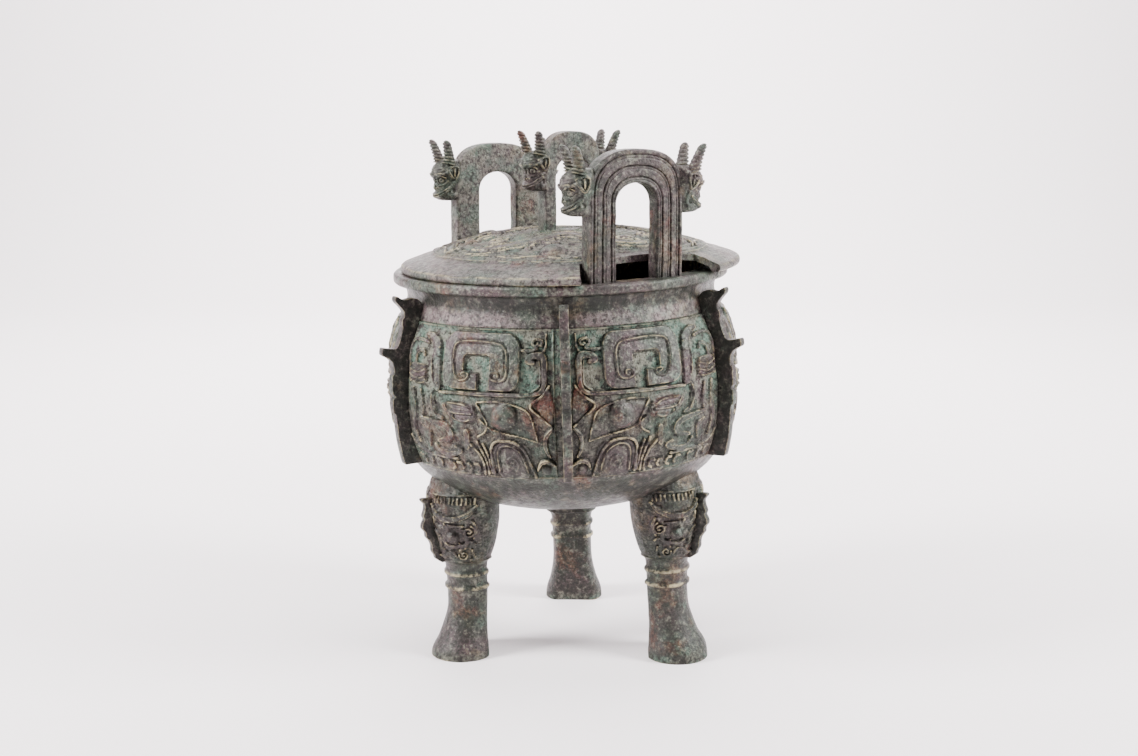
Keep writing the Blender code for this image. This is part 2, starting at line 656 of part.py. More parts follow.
def centred(things):
    """Set the origin under the middle of the whole part, level with the undersides of its feet."""
    points = [vert.co for thing in things for vert in thing.data.vertices]
    middle = Vector((0, 0, 0))
    for axis in (0, 1):
        places = [point[axis] for point in points]
        middle[axis] = (min(places) + max(places)) / 2
    shift = Matrix.Translation(-middle)
    for thing in things:
        thing.data.transform(shift)
        thing.data.update()


clear_scene()
vessel = build_vessel()
lid = build_lid()
centred([vessel, lid])
finish(vessel, bronze("vessel bronze", (0.105, 0.110, 0.090), 0.55))
finish(lid, bronze("lid bronze", (0.120, 0.125, 0.105), 0.55))
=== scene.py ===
"""Looks of the bronze ding: its relief, ox heads, patina and the studio around it.

The casting is worked out on its own upright axis and then leaned, as the solids are.
Azimuth 0 is the front and grows to the viewer's right. Units are metres.
"""
import math

import bmesh
import bpy
import numpy as np
from mathutils import Matrix, Vector


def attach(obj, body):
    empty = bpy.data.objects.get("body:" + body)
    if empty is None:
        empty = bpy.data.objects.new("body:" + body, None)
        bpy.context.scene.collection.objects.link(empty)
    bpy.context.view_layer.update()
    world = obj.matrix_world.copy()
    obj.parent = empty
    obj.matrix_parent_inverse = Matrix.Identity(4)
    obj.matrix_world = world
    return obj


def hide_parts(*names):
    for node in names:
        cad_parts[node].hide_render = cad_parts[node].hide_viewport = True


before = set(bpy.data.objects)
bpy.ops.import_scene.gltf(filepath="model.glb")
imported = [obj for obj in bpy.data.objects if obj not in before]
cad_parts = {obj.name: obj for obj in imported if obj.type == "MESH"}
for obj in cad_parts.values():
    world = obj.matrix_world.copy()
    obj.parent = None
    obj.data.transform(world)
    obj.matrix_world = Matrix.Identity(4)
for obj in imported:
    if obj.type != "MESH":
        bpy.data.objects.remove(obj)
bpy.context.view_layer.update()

# Stance of the casting
LEAN = math.radians(1.6)
AXIS_FOOT = 0.00486
LEANING = Matrix.Rotation(-LEAN, 4, "Y")
SHIFT = Matrix.Translation((AXIS_FOOT, 0, 0))
CAST = SHIFT @ LEANING
SIXTH = math.radians(60)

# Bowl
RIM_RADIUS = 0.108
RIM_HEIGHT = 0.2493
RIM_THICKNESS = 0.0062
MOUTH_RADIUS = 0.0925
NECK_RADIUS = 0.0995
NECK_HEIGHT = 0.234
BELLY_RADIUS = 0.1123
BOWL_BOTTOM = 0.093
WALL = 0.004
BAND_TOP = 0.2234
BAND_BOTTOM = 0.1335
BAND_SUNK = 0.0012
BAND_SKIRT = 0.0012
BAND_RELIEF = 1.2
BAND_GRID_FRONT = (250, 190)
BAND_GRID_ROUND = (150, 114)
FLANGE_THICKNESS = 0.0055
BELLY_FORM = (
    (0.0, 0.0), (0.220, 0.011), (0.445, 0.045), (0.623, 0.091), (0.757, 0.145), (0.846, 0.202),
    (0.900, 0.255), (0.926, 0.284), (0.962, 0.355), (0.986, 0.426), (0.998, 0.511), (1.0, 0.603),
    (0.988, 0.702), (0.971, 0.794), (0.939, 0.872), (0.907, 0.929), (0.886, 1.0),
)

# Legs
LEG_TURN = math.radians(-1.7)
FOOT_CIRCLE = 0.0808
FOOT_RADIUS = 0.0203
SHAFT_CIRCLE = 0.0741
SHAFT_RADIUS = 0.0138
SHOULDER_RADIUS = 0.0244
LEG_MASK_BOTTOM = 0.0655
LEG_TOP = 0.122
LEG_RING_RISE = 0.0015
LEG_RINGS = (0.0475, 0.0568)
LEG_RELIEF = 1.25
# Darkening of each leg; the extra on the second, the one at the back, is painted shade
LEG_DARK_AND_SHADE = (0.58, 0.80, 0.58)
LEG_FLANGE_THICKNESS = 0.0043

# Handles
HANDLE_AZIMUTH = math.radians(28)
FRONT_HANDLE_FACE = 0.0986
REAR_HANDLE_FACE = 0.1035
HANDLE_WIDTH = 0.0634
HANDLE_RISE = 0.0772
HANDLE_THICKNESS = 0.0115
OPENING_WIDTH = 0.0281
OPENING_RISE = 0.0575
HANDLE_EMBED = 0.003
HANDLE_SOFTNESS = 0.0012
GROOVES = (0.155, 0.485, 0.815)
GROOVE_DEPTH = 0.0011
GROOVE_HALF = 0.00045
HEAD_HEIGHT = 0.0285
HEAD_SHOULDER = 0.0245
RIM_LOOP = (HANDLE_WIDTH, HANDLE_RISE, OPENING_WIDTH, OPENING_RISE)
RIM_HANDLES = (
    # name, place round the rim, distance of the outer face, turns of the two heads, share of darkening
    ("front_handle", HANDLE_AZIMUTH, FRONT_HANDLE_FACE, (-7, 1), 0.42),
    ("rear_handle", HANDLE_AZIMUTH + math.pi, REAR_HANDLE_FACE, (0, 6), 0.0),
)
RIM_HANDLE_SEED = 50

# Lid
LID_RADIUS = 0.1096
LID_SHIFT = 0.0066
LID_RISE = 0.0235
LID_EDGE = 0.0042
LID_WALL = 0.004
LID_SEAT = RIM_HEIGHT + 0.0003
LID_TURN = math.radians(2)
LID_FIELD = 0.0885
NOTCH_FLOOR_OUT = 0.0821
NOTCH_FLOOR_HALF = 0.041
NOTCH_MOUTH_OUT = 0.097
NOTCH_MOUTH_HALF = 0.04925
LID_HANDLE_WIDTH = 0.0402
LID_HANDLE_RISE = 0.0640
LID_OPENING_WIDTH = 0.0240
LID_OPENING_RISE = 0.0480
LID_HEAD_HEIGHT = 0.0262
LID_LOOP = (LID_HANDLE_WIDTH, LID_HANDLE_RISE, LID_OPENING_WIDTH, LID_OPENING_RISE)
LID_HEAD_TURNS = (12, 5)
LID_HANDLE_DARKENING = 0.15
LID_HANDLE_SEED = 60
SEATING = CAST @ Matrix.Translation((LID_SHIFT, 0, LID_SEAT))


# Small tools for shapes and fields

def on_circle(azimuth, radius, height):
    """A point round the vertical axis."""
    return Vector((radius * math.sin(azimuth), -radius * math.cos(azimuth), height))


def smooth_step(low, high, value):
    """0 below low, 1 above high, with a soft rise between."""
    share = np.clip((value - low) / (high - low), 0, 1)
    return share * share * (3 - 2 * share)


def hump(value, middle, half):
    """A soft line: 1 at the middle, near 0 beyond its half width."""
    return np.exp(-((value - middle) / half) ** 2)


def curve(points, steps=6):
    """A smooth path through points, with a cubic piece between each two."""
    knots = np.array([points[0], *points, points[-1]], float)
    path = []
    for a, b, c, d in zip(knots, knots[1:], knots[2:], knots[3:]):
        for step in range(steps):
            t = step / steps
            path.append(0.5 * (2 * b + (c - a) * t + (2 * a - 5 * b + 4 * c - d) * t ** 2
                               + (3 * b - a - 3 * c + d) * t ** 3))
    return path + [knots[-1]]


def reach_of(points, path, half):
    """Distance from every point to a path, as a share of the path's half width there."""
    halves = np.interp(np.linspace(0, 1, len(path)), np.linspace(0, 1, len(half)), half)
    nearest = np.full(len(points), 99.0)
    for start, end, first, last in zip(path, path[1:], halves, halves[1:]):
        run = end - start
        along = np.clip((points - start) @ run / max(run @ run, 1e-12), 0, 1)
        away = np.linalg.norm(points - start - along[:, None] * run, axis=1)
        nearest = np.minimum(nearest, away / (first + (last - first) * along))
    return nearest


def raise_path(field, points, path, half, rise, line=0.0, steps=6):
    """Raise a rounded band along a path, with a fine double line inside its edge where asked."""
    share = reach_of(points, curve(path, steps), half)
    body = rise * (1 - smooth_step(0.74, 1.14, share))
    body += line * (hump(share, 0.78, 0.13) - hump(share, 0.50, 0.13))
    np.maximum(field, body, out=field)


def cut_path(field, points, path, half, depth):
    """Sink a fine line along a path."""
    field -= depth * np.exp(-reach_of(points, curve(path), (half,)) ** 2)


def boss(field, points, centre, radius, rise, pupil=0.0, depth=0.0008):
    """Raise a round boss, with a dot sunk in its crown where asked."""
    away = np.linalg.norm(points - np.array(centre), axis=1)
    dome = rise * np.sqrt(np.clip(1 - (away / radius) ** 2, 0, 1))
    dome -= depth * (pupil > 0) * np.exp(-(away / max(pupil, 1e-9)) ** 2)
    np.maximum(field, dome, out=field)


def slab(points, centre, half, corner):
    """Distance outside a rectangle with round corners, which is negative within it."""
    away = np.abs(points - np.array(centre)) - np.array(half) + corner
    return np.linalg.norm(np.maximum(away, 0), axis=1) + np.minimum(away.max(axis=1), 0) - corner


def spiral(centre, radius, turns, start, way=1):
    """A path that winds in to a centre."""
    path = []
    count = int(turns * 10)
    for step in range(count + 1):
        reach = radius * (1 - 0.86 * step / count)
        angle = start + way * math.tau * turns * step / count
        path.append((centre[0] + reach * math.cos(angle), centre[1] + reach * math.sin(angle)))
    return path


def thunder(points, cell):
    """Square spirals, from 0 to 1, that fill the ground between raised forms."""
    place = points / cell
    inside = place % 1.0 - 0.5
    way = np.where((np.floor(place).sum(axis=1) % 2) == 0, 1, -1)
    square = np.abs(inside).max(axis=1)
    turn = np.arctan2(inside[:, 1], inside[:, 0]) / math.tau
    return 0.5 + 0.5 * np.cos(math.tau * (square * 3.2 - way * turn))


def swell(points, length, seed):
    """A small smooth unevenness between -1 and 1, the same each run."""
    rng = np.random.default_rng(seed)
    total = np.zeros(len(points))
    for _ in range(8):
        total += np.sin(points @ rng.normal(size=3) * 4.0 / length + rng.uniform(0, math.tau))
    return total / 4


def sheet(columns, rows):
    """A flat grid and each vertex's shares across and up, from 0 to 1."""
    bm = bmesh.new()
    bmesh.ops.create_grid(bm, x_segments=columns, y_segments=rows, size=0.5)
    mesh = finished(bm, "sheet")
    points = points_of(mesh)
    return mesh, points[:, 0] + 0.5, points[:, 1] + 0.5


def points_of(mesh):
    """The vertices of a mesh as an array."""
    flat = np.empty(len(mesh.vertices) * 3)
    mesh.vertices.foreach_get("co", flat)
    return flat.reshape(-1, 3)


def set_points(mesh, points):
    """Put an array back as the vertices of a mesh."""
    mesh.vertices.foreach_set("co", np.ascontiguousarray(points, dtype=float).ravel())
    mesh.update()


def normals_of(mesh):
    """The vertex normals of a mesh as an array."""
    flat = np.empty(len(mesh.vertices) * 3)
    mesh.vertex_normals.foreach_get("vector", flat)
    return flat.reshape(-1, 3)


def edited(mesh, *operations):
    """Run operations of a bmesh on a mesh."""
    bm = bmesh.new()
    bm.from_mesh(mesh)
    for operation in operations:
        operation(bm)
    bm.to_mesh(mesh)
    bm.free()
    return mesh


def finished(bm, name):
    """The mesh that a bmesh has become."""
    mesh = bpy.data.meshes.new(name)
    bm.to_mesh(mesh)
    bm.free()
    return mesh


def placed(name, data):
    """A new object in the scene."""
    thing = bpy.data.objects.new(name, data)
    bpy.context.scene.collection.objects.link(thing)
    return thing


def verts_in(geometry):
    """The vertices among what an operator gives back."""
    return [item for item in geometry if isinstance(item, bmesh.types.BMVert)]


def plate_of(corners, through):
    """A bmesh of a flat outline made thick along a vector."""
    bm = bmesh.new()
    face = bm.faces.new([bm.verts.new(corner) for corner in corners])
    far = bmesh.ops.extrude_face_region(bm, geom=[face], use_keep_orig=True)["geom"]
    bmesh.ops.translate(bm, vec=through, verts=verts_in(far))
    bmesh.ops.recalc_face_normals(bm, faces=bm.faces)
    return bm


def weld(bm):
    """Merge the seam of a wrapped sheet."""
    bmesh.ops.remove_doubles(bm, verts=bm.verts, dist=0.00001)


def cap(bm):
    """Close every open end and turn all faces outward."""
    bmesh.ops.holes_fill(bm, edges=bm.edges, sides=0)
    bmesh.ops.recalc_face_normals(bm, faces=bm.faces)


def cut_level(bm):
    """Cut away what lies below the floor."""
    bmesh.ops.bisect_plane(bm, geom=bm.verts[:] + bm.edges[:] + bm.faces[:], plane_co=(0, 0, 0.00002),
                           plane_no=(0, 0, 1), clear_inner=True)


def moved(mesh, matrix):
    """Place a mesh by a matrix, with its faces still outward after a mirroring."""
    mesh.transform(matrix)
    if matrix.determinant() < 0:
        mesh.flip_normals()
    mesh.update()
    return mesh


def turned(outline, segments):
    """Spin an outline of (radius, height) that starts and ends on the axis into a closed body."""
    bm = bmesh.new()
    points = [bm.verts.new((radius, 0, height)) for radius, height in outline]
    edges = [bm.edges.new(pair) for pair in zip(points, points[1:])]
    bmesh.ops.spin(bm, geom=points + edges, axis=(0, 0, 1), cent=(0, 0, 0),
                   angle=math.tau, steps=segments, use_merge=True)
    bmesh.ops.remove_doubles(bm, verts=bm.verts, dist=0.000005)
    bmesh.ops.recalc_face_normals(bm, faces=bm.faces)
    return finished(bm, "turned")


def worn(mesh, reach, scale):
    """Store how far each vertex stands out of the skin around it, as wear, and sinks below it, as painted
    crease shade.
    """
    points = points_of(mesh)
    ends = np.empty(len(mesh.edges) * 2, dtype=np.int64)
    mesh.edges.foreach_get("vertices", ends)
    first, second = ends.reshape(-1, 2).T
    total = len(points)
    links = np.bincount(first, minlength=total) + np.bincount(second, minlength=total)
    eased = points.copy()
    for _ in range(reach):
        for axis in range(3):
            line = eased[:, axis]
            around = (np.bincount(first, line[second], total) + np.bincount(second, line[first], total))
            eased[:, axis] = 0.5 * line + 0.5 * around / np.maximum(links, 1)
    lift = ((points - eased) * normals_of(mesh)).sum(axis=1) / scale
    store(mesh, "wear", np.clip(lift, 0, 1))
    store(mesh, "crease_shade", np.clip(-lift, 0, 1))


def store(mesh, name, values):
    """Store one number for each vertex."""
    layer = mesh.attributes.get(name) or mesh.attributes.new(name, "FLOAT", "POINT")
    layer.data.foreach_set("value", np.ascontiguousarray(values, dtype=np.float32))


def show(mesh, name, node, material, reach=5, scale=0.0004, sharp=50, **stored):
    """Make a finished piece of a mesh, in place of a solid of the frame."""
    if "wear" not in mesh.attributes:
        worn(mesh, reach, scale)
    for kind in ("ground", "bloom", "soot"):
        value = stored.get(kind, 0.0)
        if kind in stored or kind not in mesh.attributes:
            store(mesh, kind, np.full(len(mesh.vertices), value) if np.isscalar(value) else value)
    mesh.materials.clear()
    mesh.materials.append(material)
    mesh.shade_smooth()
    mesh.set_sharp_from_angle(angle=math.radians(sharp))
    thing = placed(name, mesh)
    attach(thing, "root")
    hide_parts(node)
    return thing


# Bowl and its band of masks

def belly_profile():
    """Dense heights and radii of the bowl's outer side."""
    span = NECK_HEIGHT - BOWL_BOTTOM
    form = np.array(curve(BELLY_FORM, 8))
    return BOWL_BOTTOM + form[:, 1] * span, form[:, 0] * BELLY_RADIUS


def bowl():
    """The bowl with its rim, neck, inner side and the ground that the band of masks lies on."""
    heights, radii = belly_profile()
    sunk = BAND_SUNK * smooth_step(BAND_BOTTOM, BAND_BOTTOM + 0.0006, heights)
    sunk *= 1 - smooth_step(BAND_TOP - 0.0006, BAND_TOP, heights)
    outline = [(max(radius, 0), height) for radius, height in zip(radii - sunk, heights)]
    lip = RIM_HEIGHT - RIM_THICKNESS
    outline += curve([(NECK_RADIUS, NECK_HEIGHT), (NECK_RADIUS + 0.0004, NECK_HEIGHT + 0.0040),
                      (NECK_RADIUS + 0.0020, lip - 0.0012), (RIM_RADIUS - 0.0030, lip - 0.0001)], 5)[1:]
    outline += curve([(RIM_RADIUS - 0.0011, lip), (RIM_RADIUS - 0.0001, lip + 0.0011),
                      (RIM_RADIUS, lip + RIM_THICKNESS * 0.5), (RIM_RADIUS - 0.0002, RIM_HEIGHT - 0.0012),
                      (RIM_RADIUS - 0.0013, RIM_HEIGHT)], 3)
    outline += [(RIM_RADIUS - step * 0.0026, RIM_HEIGHT) for step in (1, 2, 3, 4, 5)]
    outline += [(MOUTH_RADIUS + 0.0008, RIM_HEIGHT), (MOUTH_RADIUS, RIM_HEIGHT - 0.0010),
                (MOUTH_RADIUS - 0.0001, NECK_HEIGHT)]
    inside = [(radius - WALL, height + WALL * 0.5) for radius, height in zip(radii[::-5], heights[::-5])
              if radius > WALL * 4 and radius - WALL < MOUTH_RADIUS + 0.02 and height < NECK_HEIGHT - 0.004]
    outline += inside + [(0, BOWL_BOTTOM + WALL)]
    mesh = turned(outline, 192)
    points = points_of(mesh)
    set_points(mesh, points + normals_of(mesh) * (0.00012 * swell(points, 0.03, 4))[:, None])
    # Painted sheen on the shoulder above the band, fading out towards the neck
    shoulder = smooth_step(BAND_TOP - 0.0005, BAND_TOP + 0.0010, points[:, 2])
    shoulder *= 0.8 - 0.8 * smooth_step(NECK_HEIGHT - 0.0040, NECK_HEIGHT, points[:, 2])
    # Painted shadow on the neck under the rim's overhang, and painted shade on the lower bowl below the band
    shade = smooth_step(NECK_HEIGHT - 0.0040, NECK_HEIGHT + 0.0015, points[:, 2])
    shade *= 0.95 * (1 - smooth_step(lip - 0.0006, lip + 0.0010, points[:, 2]))
    shade += 0.95 * (1 - smooth_step(BAND_BOTTOM - 0.006, BAND_BOTTOM, points[:, 2]))
    moved(mesh, CAST)
    return show(mesh, "bowl", "vessel", BRONZE, reach=3, scale=0.0006, bloom=shoulder, soot=shade)


def mask_field(points):
    """Relief of half a mask and the small dragon beside it; points are (across, height).

    Its lines run in degrees round the bowl and millimetres up, and are millimetres wide and high.
    """
    degree = math.radians(1) * BELLY_RADIUS

    def at(*pairs):
        return [(across * degree, height * 0.001) for across, height in pairs]

    def raised(half, rise, *pairs, steps=5):
        raise_path(field, points, at(*pairs), np.atleast_1d(half) * 0.001, rise * 0.001, steps=steps)

    def thread(*pairs, half=0.6, rise=0.8):
        share = reach_of(points, curve(at(*pairs), 5), (half * 0.001,))
        field[:] += rise * 0.001 * (hump(share, 0, 0.85) - 0.55 * hump(share, 2.0, 0.6))

    def plate(centre, half, corner, rise):
        edge = slab(points, at(centre)[0], np.multiply(half, 0.001), corner * 0.001)
        np.maximum(field, rise * 0.001 * (1 - smooth_step(-0.0007, 0.0002, edge)), out=field)

    warped = points + 0.0011 * np.column_stack([np.sin(points[:, 1] * 480), np.sin(points[:, 0] * 410)])
    field = 0.00036 * thunder(warped, 0.0037)
    # Horn, a broad plateau with a sunk middle that opens downward, and a fine thread on it
    edge = slab(points, at((26.2, 204.1))[0], (0.0264, 0.0167), 0.0085)
    middle = slab(points, at((27.0, 202.8))[0], (0.0086, 0.0049), 0.0024)
    mouth = slab(points, at((24.7, 191.0))[0], (0.0034, 0.0090), 0.0010)
    inside = np.maximum(edge, -np.minimum(middle, mouth))
    np.maximum(field, 0.0022 * (1 - smooth_step(-0.0007, 0.0002, inside)), out=field)
    thread((30.6, 195.2), (32.0, 196.8), (30.6, 198.0), (29.6, 196.2), (30.8, 193.6), (33.4, 193.4),
           (34.9, 199.1), (35.4, 210.4), (34.0, 214.4), (28.6, 215.6), (20.2, 214.6), (17.4, 211.4),
           (16.8, 204.0), (17.2, 196.2), (19.0, 193.6), (21.6, 194.4), (21.8, 198.0), (19.8, 198.4),
           (19.6, 196.4))
    # Long ridge that rises beside the nose and curls inward, and the band with a spiral above it
    raised((1.4, 1.9, 2.1, 2.2, 2.1, 1.6, 1.3, 1.2, 1.3, 0.8), 2.1,
           (8.6, 204.6), (10.4, 205.6), (8.8, 208.2), (5.6, 207.6), (5.2, 199.0), (5.6, 190.2), (8.4, 186.2),
           (19.3, 185.6), (28.3, 185.4), (40.6, 184.8))
    thread((6.9, 206.4), (6.5, 199.0), (6.7, 191.4), (9.2, 187.4), half=0.5)
    raised(0.9, 1.5, (7.4, 214.6), (6.2, 214.4), (6.0, 216.6), (8.0, 217.6), (9.0, 215.2), (7.6, 212.6),
           (9.4, 211.2), (12.8, 211.8), (15.2, 215.2))
    raised(0.7, 1.3, (4.6, 220.0), (4.8, 213.0), (5.6, 210.4))
    # Plate between the brows and its notched edge
    raised((1.2, 5.8, 1.2), 1.2, (4.2, 189.0), (5.0, 179.2), (3.6, 169.0), steps=8)
    raised(0.8, 2.1, (3.8, 191.0), (6.2, 184.9), (9.7, 179.2), (6.3, 172.4), (3.2, 167.0))
    # Eye in its socket
    raised((3, 7.2, 7.8, 6.4, 1.8), 0.7, (24.6, 175.0), (20.6, 172.4), (15.4, 170.0), (11.6, 166.0),
           (8.6, 159.4))
    for line in (((26.8, 180.5), (21.1, 181.4), (15.6, 180.0), (10.4, 175.4), (8.6, 165.6), (7.8, 157.6)),
                 ((26.0, 170.0), (22.5, 164.8), (18.0, 162.3), (13.1, 160.6), (7.8, 157.6)),
                 ((27.0, 179.6), (25.0, 173.6), (23.6, 167.6), (24.6, 162.6), (27.1, 159.6))):
        raised(0.6, 1.4, *line)
    boss(field, points, at((18.0, 172.4))[0], 0.0086, 0.0046, 0.0009)
    # Ear, a leaf with a rib
    raised((2.6, 5.8, 6.4, 5.8), 1.9, (38.6, 176.6), (35.4, 174.8), (32.0, 174.0), (29.8, 173.4))
    thread((38.4, 177.6), (35.8, 173.6), (28.6, 173.4))
    thread((37.0, 179.0), (31.6, 178.6), (29.2, 176.6))
    thread((35.4, 171.6), (34.4, 168.8), (31.6, 168.2), (29.4, 169.8))
    # Jaw, a low arch with a doubled edge and a spiral in it
    plate((16.3, 145.4), (12.6, 12), 8, 1.1)
    raised(0.9, 2, (22.9, 137.0), (22.9, 146.9), (22.5, 154.4), (20.4, 157.6), (16.6, 157.8), (13.6, 155.6),
           (11.2, 149.4), (9.2, 135.4))
    thread((21.0, 137.8), (20.8, 149.6), (19.4, 154.2), (16.6, 154.8), (13.6, 151.6), (12.1, 144.4),
           (11.4, 137.3))
    share = reach_of(points, curve(spiral(at((16.6, 143.6))[0], 0.0050, 1.5, 4.2, -1), 2), (0.0006,))
    field += 0.0005 * hump(share, 0, 0.85) - 0.0003 * hump(share, 2.0, 0.6)
    for line in (((25.4, 155.4), (24.2, 148.0), (23.8, 137.4)),
                 ((27.4, 156.6), (26.0, 150.2), (24.9, 143.0), (25.0, 136.4)),
                 ((29.9, 154.6), (27.4, 149.4), (26.1, 141.4), (26.6, 136.0))):
        raised(0.8, 1.6, *line)
    # Nose, nostril and the line beside the flange
    raised((0.9, 1.4, 1.3, 0.8), 1.5, (3.2, 165.4), (5.2, 160.4), (5.3, 153.4), (4.2, 148.2))
    raised((0.6, 1.2, 1.2, 0.6), 2.2, (8.3, 140.2), (7.0, 144.8), (4.6, 145.4), (2.6, 143.0))
    boss(field, points, at((5.7, 139.6))[0], 0.0034, 0.0019)
    # Body behind the jaw, with its curls and claws
    raised((0.9, 1.6, 2.3, 2.6, 2.2, 1), 1.8, (50.2, 166.8), (46.0, 166.2), (39.6, 164.4), (37.0, 160.4),
           (38.2, 156.4), (42.6, 154.4))
    raised((2, 2.3, 1.8), 1.8, (30.9, 162.0), (30.8, 157.6), (31.2, 152.6))
    raised((0.8, 1.3, 1, 0.8), 1.5, (57.4, 153.6), (54.8, 146.6), (48.8, 144.4), (36.0, 144.0))
    raised((0.9, 1.8, 1.9, 1.4, 0.8), 1.7, (44.4, 151.6), (42.0, 147.0), (37.4, 147.0), (33.8, 149.8),
           (35.8, 152.2))
    raised((0.8, 1.3, 0.8), 1.4, (49.6, 162.0), (46.6, 158.6), (47.4, 149.6))
    for across in (39.0, 35.6, 32.2, 28.9):
        raised(0.8, 1.6, (across + 1.0, 141.6), (across - 0.5, 141.4), (across - 0.9, 138.4),
               (across + 0.3, 136.8))
    for across in (53.6, 49.6, 44.8):
        raised(0.9, 1.4, (across + 1.4, 142.0), (across - 0.6, 141.0), (across - 0.2, 137.2))
    # Small upright dragon beside the mask
    raised((1.6, 2.7, 3.8, 4.2, 4, 3), 1.8, (49.4, 216.8), (46.2, 215.8), (43.4, 211.4), (42.9, 203.0),
           (42.6, 194.0), (42.0, 187.4))
    thread((48.2, 214.6), (45.6, 210.0), (44.6, 200.0), (44.0, 188.0))
    for height in (210.4, 205.4, 200.4, 195.0, 189.8):
        boss(field, points, at((42.0, height))[0], 0.0016, 0.0025)
    raised(1.1, 1.4, (56.4, 188.2), (57.4, 200.0), (57.2, 211.6), (52.6, 213.6), (48.6, 212.6))
    raised(1.2, 1.6, (53.4, 200.6), (53.2, 205.8), (50.2, 207.6), (49.4, 205.2))
    plate((51.7, 193.6), (8.4, 6.4), 3.6, 2.1)
    for low, middle, high in ((196.4, 194.2, 197.0), (192.8, 190.4, 192.6), (189.6, 187.8, 188.6)):
        thread((55.8, low), (51.4, middle), (47.4, high), rise=0.8)
    raised((1.2, 2.1, 2, 1), 1.5, (43.7, 185.0), (44.2, 178.6), (42.8, 171.0), (40.2, 168.6))
    thread((43.8, 184.0), (44.2, 177.6), (42.6, 171.0))
    raised((1, 1.9, 1.6, 0.8), 1.6, (54.0, 184.2), (53.4, 173.0), (54.2, 161.0), (52.4, 151.0))
    raised((0.8, 1.3, 0.8), 1.5, (50.0, 183.6), (49.0, 174.0), (49.6, 168.4))
    ground = 1 - smooth_step(0.0004, 0.0010, field)
    ground *= 0.35 + 0.65 * smooth_step(0.174, 0.190, points[:, 1])
    field *= BAND_RELIEF
    # Plain fillets round the panel
    for height in (BAND_TOP - 0.0009, BAND_BOTTOM + 0.0010):
        np.maximum(field, 0.0012 * hump(points[:, 1], height, 0.0008), out=field)
    for across in (2.4, 57.7):
        np.maximum(field, 0.0010 * hump(points[:, 0], across * degree, 0.0006), out=field)
    return field, ground


def band_panel(number):
    """One sixth of the band, between two flanges: half a mask, mirrored from its neighbour."""
    columns, rows = BAND_GRID_FRONT if number in (0, 5) else BAND_GRID_ROUND
    mesh, across, up = sheet(columns, rows)
    azimuth = (number + across) * SIXTH
    height = BAND_BOTTOM - 0.0004 + up * (BAND_TOP - BAND_BOTTOM + 0.0008)
    middle = 2 * SIXTH * round((number + 0.5) / 2 + (0.01 if number % 2 else -0.01))
    flat = np.column_stack([np.abs(azimuth - middle) * BELLY_RADIUS, height])
    rise, ground = mask_field(flat)
    edge = np.minimum(np.minimum(height - height.min(), height.max() - height) / 0.0005, 1)
    rise = rise * edge - BAND_SUNK * 0.8 * (1 - edge)
    heights, radii = belly_profile()
    slope = np.interp(height, heights, np.gradient(radii, heights + np.arange(len(heights)) * 1e-9))
    lean = 1 / np.sqrt(1 + slope ** 2)
    radius = np.interp(height, heights, radii) + rise * lean
    points = np.column_stack([radius * np.sin(azimuth), -radius * np.cos(azimuth),
                              height - rise * lean * slope])
    points += (points * (1, 1, 0)) / BELLY_RADIUS * (0.00025 * swell(points, 0.02, 8 + number))[:, None]
    set_points(mesh, points)
    store(mesh, "ground", ground)
    edited(mesh, skirt)
    moved(mesh, CAST)
    # Darker towards the bottom of the band
    low = 0.45 * (1 - smooth_step(0.150, 0.186, points_of(mesh)[:, 2]))
    return show(mesh, f"band_panel_{number + 1}", "vessel", BRONZE, scale=0.00046, soot=low)


def skirt(bm):
    """Turn the rim of a sheet inward, so that no thin edge shows."""
    border = [edge for edge in bm.edges if edge.is_boundary]
    made = bmesh.ops.extrude_edge_only(bm, edges=border)["geom"]
    for vert in verts_in(made):
        vert.co -= Vector((vert.co.x, vert.co.y, 0)).normalized() * BAND_SKIRT


def fin(outline, thickness, azimuth):
    """An upright plate with an outline of (radius, height), softened arrises and dark sides."""
    bm = plate_of([(radius, -thickness / 2, height) for radius, height in outline], (0, thickness, 0))
    rims = [edge for edge in bm.edges if abs(edge.verts[0].co.y - edge.verts[1].co.y) < 1e-6]
    bmesh.ops.bevel(bm, geom=rims, offset=0.0004, offset_type="OFFSET", segments=2, profile=0.5,
                    affect="EDGES", material=-1, clamp_overlap=True)
    for way in (-1, 1):
        side = max((face for face in bm.faces if face.normal.y * way > 0.9),
                   key=lambda face: face.calc_area())
        bmesh.ops.inset_region(bm, faces=[side], thickness=0.0003, depth=0, use_even_offset=False)
    bmesh.ops.triangulate(bm, faces=bm.faces)
    mesh = finished(bm, "fin")
    side = np.abs(normals_of(mesh)[:, 1])
    flat = smooth_step(0.80, 0.98, side)
    patches = np.sin(points_of(mesh)[:, 2] * 290 + azimuth * 5)
    store(mesh, "soot", 0.40 + 0.55 * flat + 0.40 * (1 - flat) * patches)
    store(mesh, "wear", hump(side, 0.62, 0.24))
    store(mesh, "crease_shade", np.zeros(len(side)))
    return moved(mesh, CAST @ Matrix.Rotation(azimuth - math.pi / 2, 4, "Z"))


